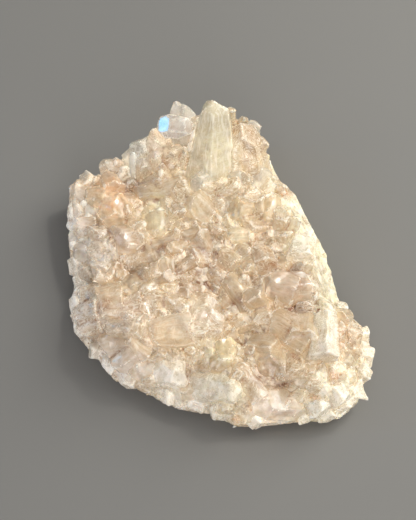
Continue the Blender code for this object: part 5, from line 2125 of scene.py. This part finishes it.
@dataclass
class Cover:
    """How thickly small crystals cover the floor.

    A face is part of the rim from rim_from of the way out, and fully so rim_over further on. Faces
    below lowest are bare. The inside starts at inner from the rim, and rare is the share of the finest
    crystals there.
    """

    rim_from: float = 0.80
    rim_over: float = 0.15
    lowest: float = 0.3
    inner: float = 4.0
    rare: float = 0.02

    def over(self, ground: Ground, floor: Form) -> tuple[np.ndarray, np.ndarray, np.ndarray]:
        """Works out how thickly each face is covered.

        Args:
            ground: the massive quartz.
            floor: its surface.

        Returns:
            The shares of the lying crystals, of those along the rim, and of the finest ones.
        """
        middles = np.array([floor.points[face[0]] for face in floor.faces])
        away = middles[:, :2] - np.array(ground.heart.xy)
        reach, _ = ground.rim_at(np.arctan2(away[:, 1], away[:, 0]))
        outer = smooth((np.linalg.norm(away, axis=1) / reach - self.rim_from) / self.rim_over)
        rough = np.where(on_flank(middles), 0.0, outer)
        heights = np.array([floor.points[list(face), 2].min() for face in floor.faces])
        free = (heights > self.lowest).astype(float)
        inside = free * (ground.beyond(middles) < -self.inner)
        return inside, free * rough, free * (self.rare + (1.0 - self.rare) * rough)


def named_surfaces(named: NamedCrystals) -> list[tuple[Skin, Clarity]]:
    """Grows the named crystals together, zone by zone.

    Args:
        named: the crystals.

    Returns:
        Each surface with its clarity.
    """
    grown = Intergrowth()
    upright = Intergrowth(bend=0.35)
    glassy = Intergrowth(voxel=0.5, wave_height=0.12, wrinkle_height=0.06, bend=0.35)
    made: list[tuple[Skin, Clarity]] = []
    for (zone, clarity), gathered in named.build().items():
        if clarity is FLASH:
            skin = FlashCrystal().build(gathered.forms[0])
        elif clarity is GLASSY:
            skin = glassy.grow(gathered)
        elif zone == "rear_points":
            skin = upright.grow(gathered)
        else:
            skin = grown.grow(gathered)
        made.append((skin, clarity))
    return made


def small_surfaces(
    massive: MassiveQuartz, floor: Form, taken: Discs
) -> list[tuple[Skin, Clarity]]:
    """Builds the crystals that follow rules: fill, lying, rim and fine ones.

    Args:
        massive: the massive quartz, which gives the lumps of the rim.
        floor: its surface.
        taken: the places and radii of the named crystals in plan.

    Returns:
        Each surface with its clarity.
    """
    ground = massive.ground
    grown = Intergrowth()
    inside, along_rim, everywhere = Cover().over(ground, floor)
    lying = Druse(
        "lying_crystals", ground, count=300, sizes=(6.2, 11.0), stretch=(0.8, 1.5), lean=1.1, seed=42,
        habits=(BLUNT, BLOCK, POINT), sunk=0.56, overhang=-4.5, crowded=0.62, upright=0.5,
        flank_free=9.0, root_inset=3.0,
    )
    small = Druse(
        "rim", ground, count=700, sizes=(1.6, 4.6), stretch=(0.6, 1.0), lean=0.4, seed=22, crowded=0.7
    )
    fine = Druse("fine_druse", ground, count=1800, sizes=(0.7, 2.0), stretch=(0.6, 1.0), lean=0.4, seed=21)
    made = [
        (grown.grow(FillCrystals(ground).build(taken)), MILKY),
        (grown.grow(lying.build(floor, inside, taken)), MILKY),
    ]
    rim = massive.lumps()
    rim.name = "rim_crystals"
    rim.take(small.build(floor, along_rim, taken))
    made.append((grown.grow(rim), WHITE))
    made.append((fine.build(floor, everywhere).joined(), MILKY))
    return made


def surfaces(ground: Ground) -> list[tuple[Skin, Clarity | None]]:
    """Builds every surface of the cluster.

    Args:
        ground: the form that everything grows from.

    Returns:
        Each surface with its clarity, or None for the massive quartz.
    """
    massive = MassiveQuartz(ground)
    floor = MassiveQuartz(Ground(step_height=FLOOR_STEPS)).skin()
    base = Gathering("massive_quartz")
    base.add(floor, 0.5)
    named = NamedCrystals(ground)
    named_made = named_surfaces(named)
    return [(base.joined(), None), *named_made, *small_surfaces(massive, floor, named.taken)]


def main() -> None:
    """Builds the cluster and the studio."""
    finishes = {clarity: finish.make() for clarity, finish in CRYSTAL_FINISHES.items()}
    finishes[None] = GroundFinish().make()
    skins = surfaces(Ground())
    hollows = Hollows([skin.points for skin, _ in skins])
    for skin, clarity in skins:
        piece_of(skin, finishes[clarity], hollows, clarity is None)
    Studio().build()


if __name__ == "__main__":
    main()
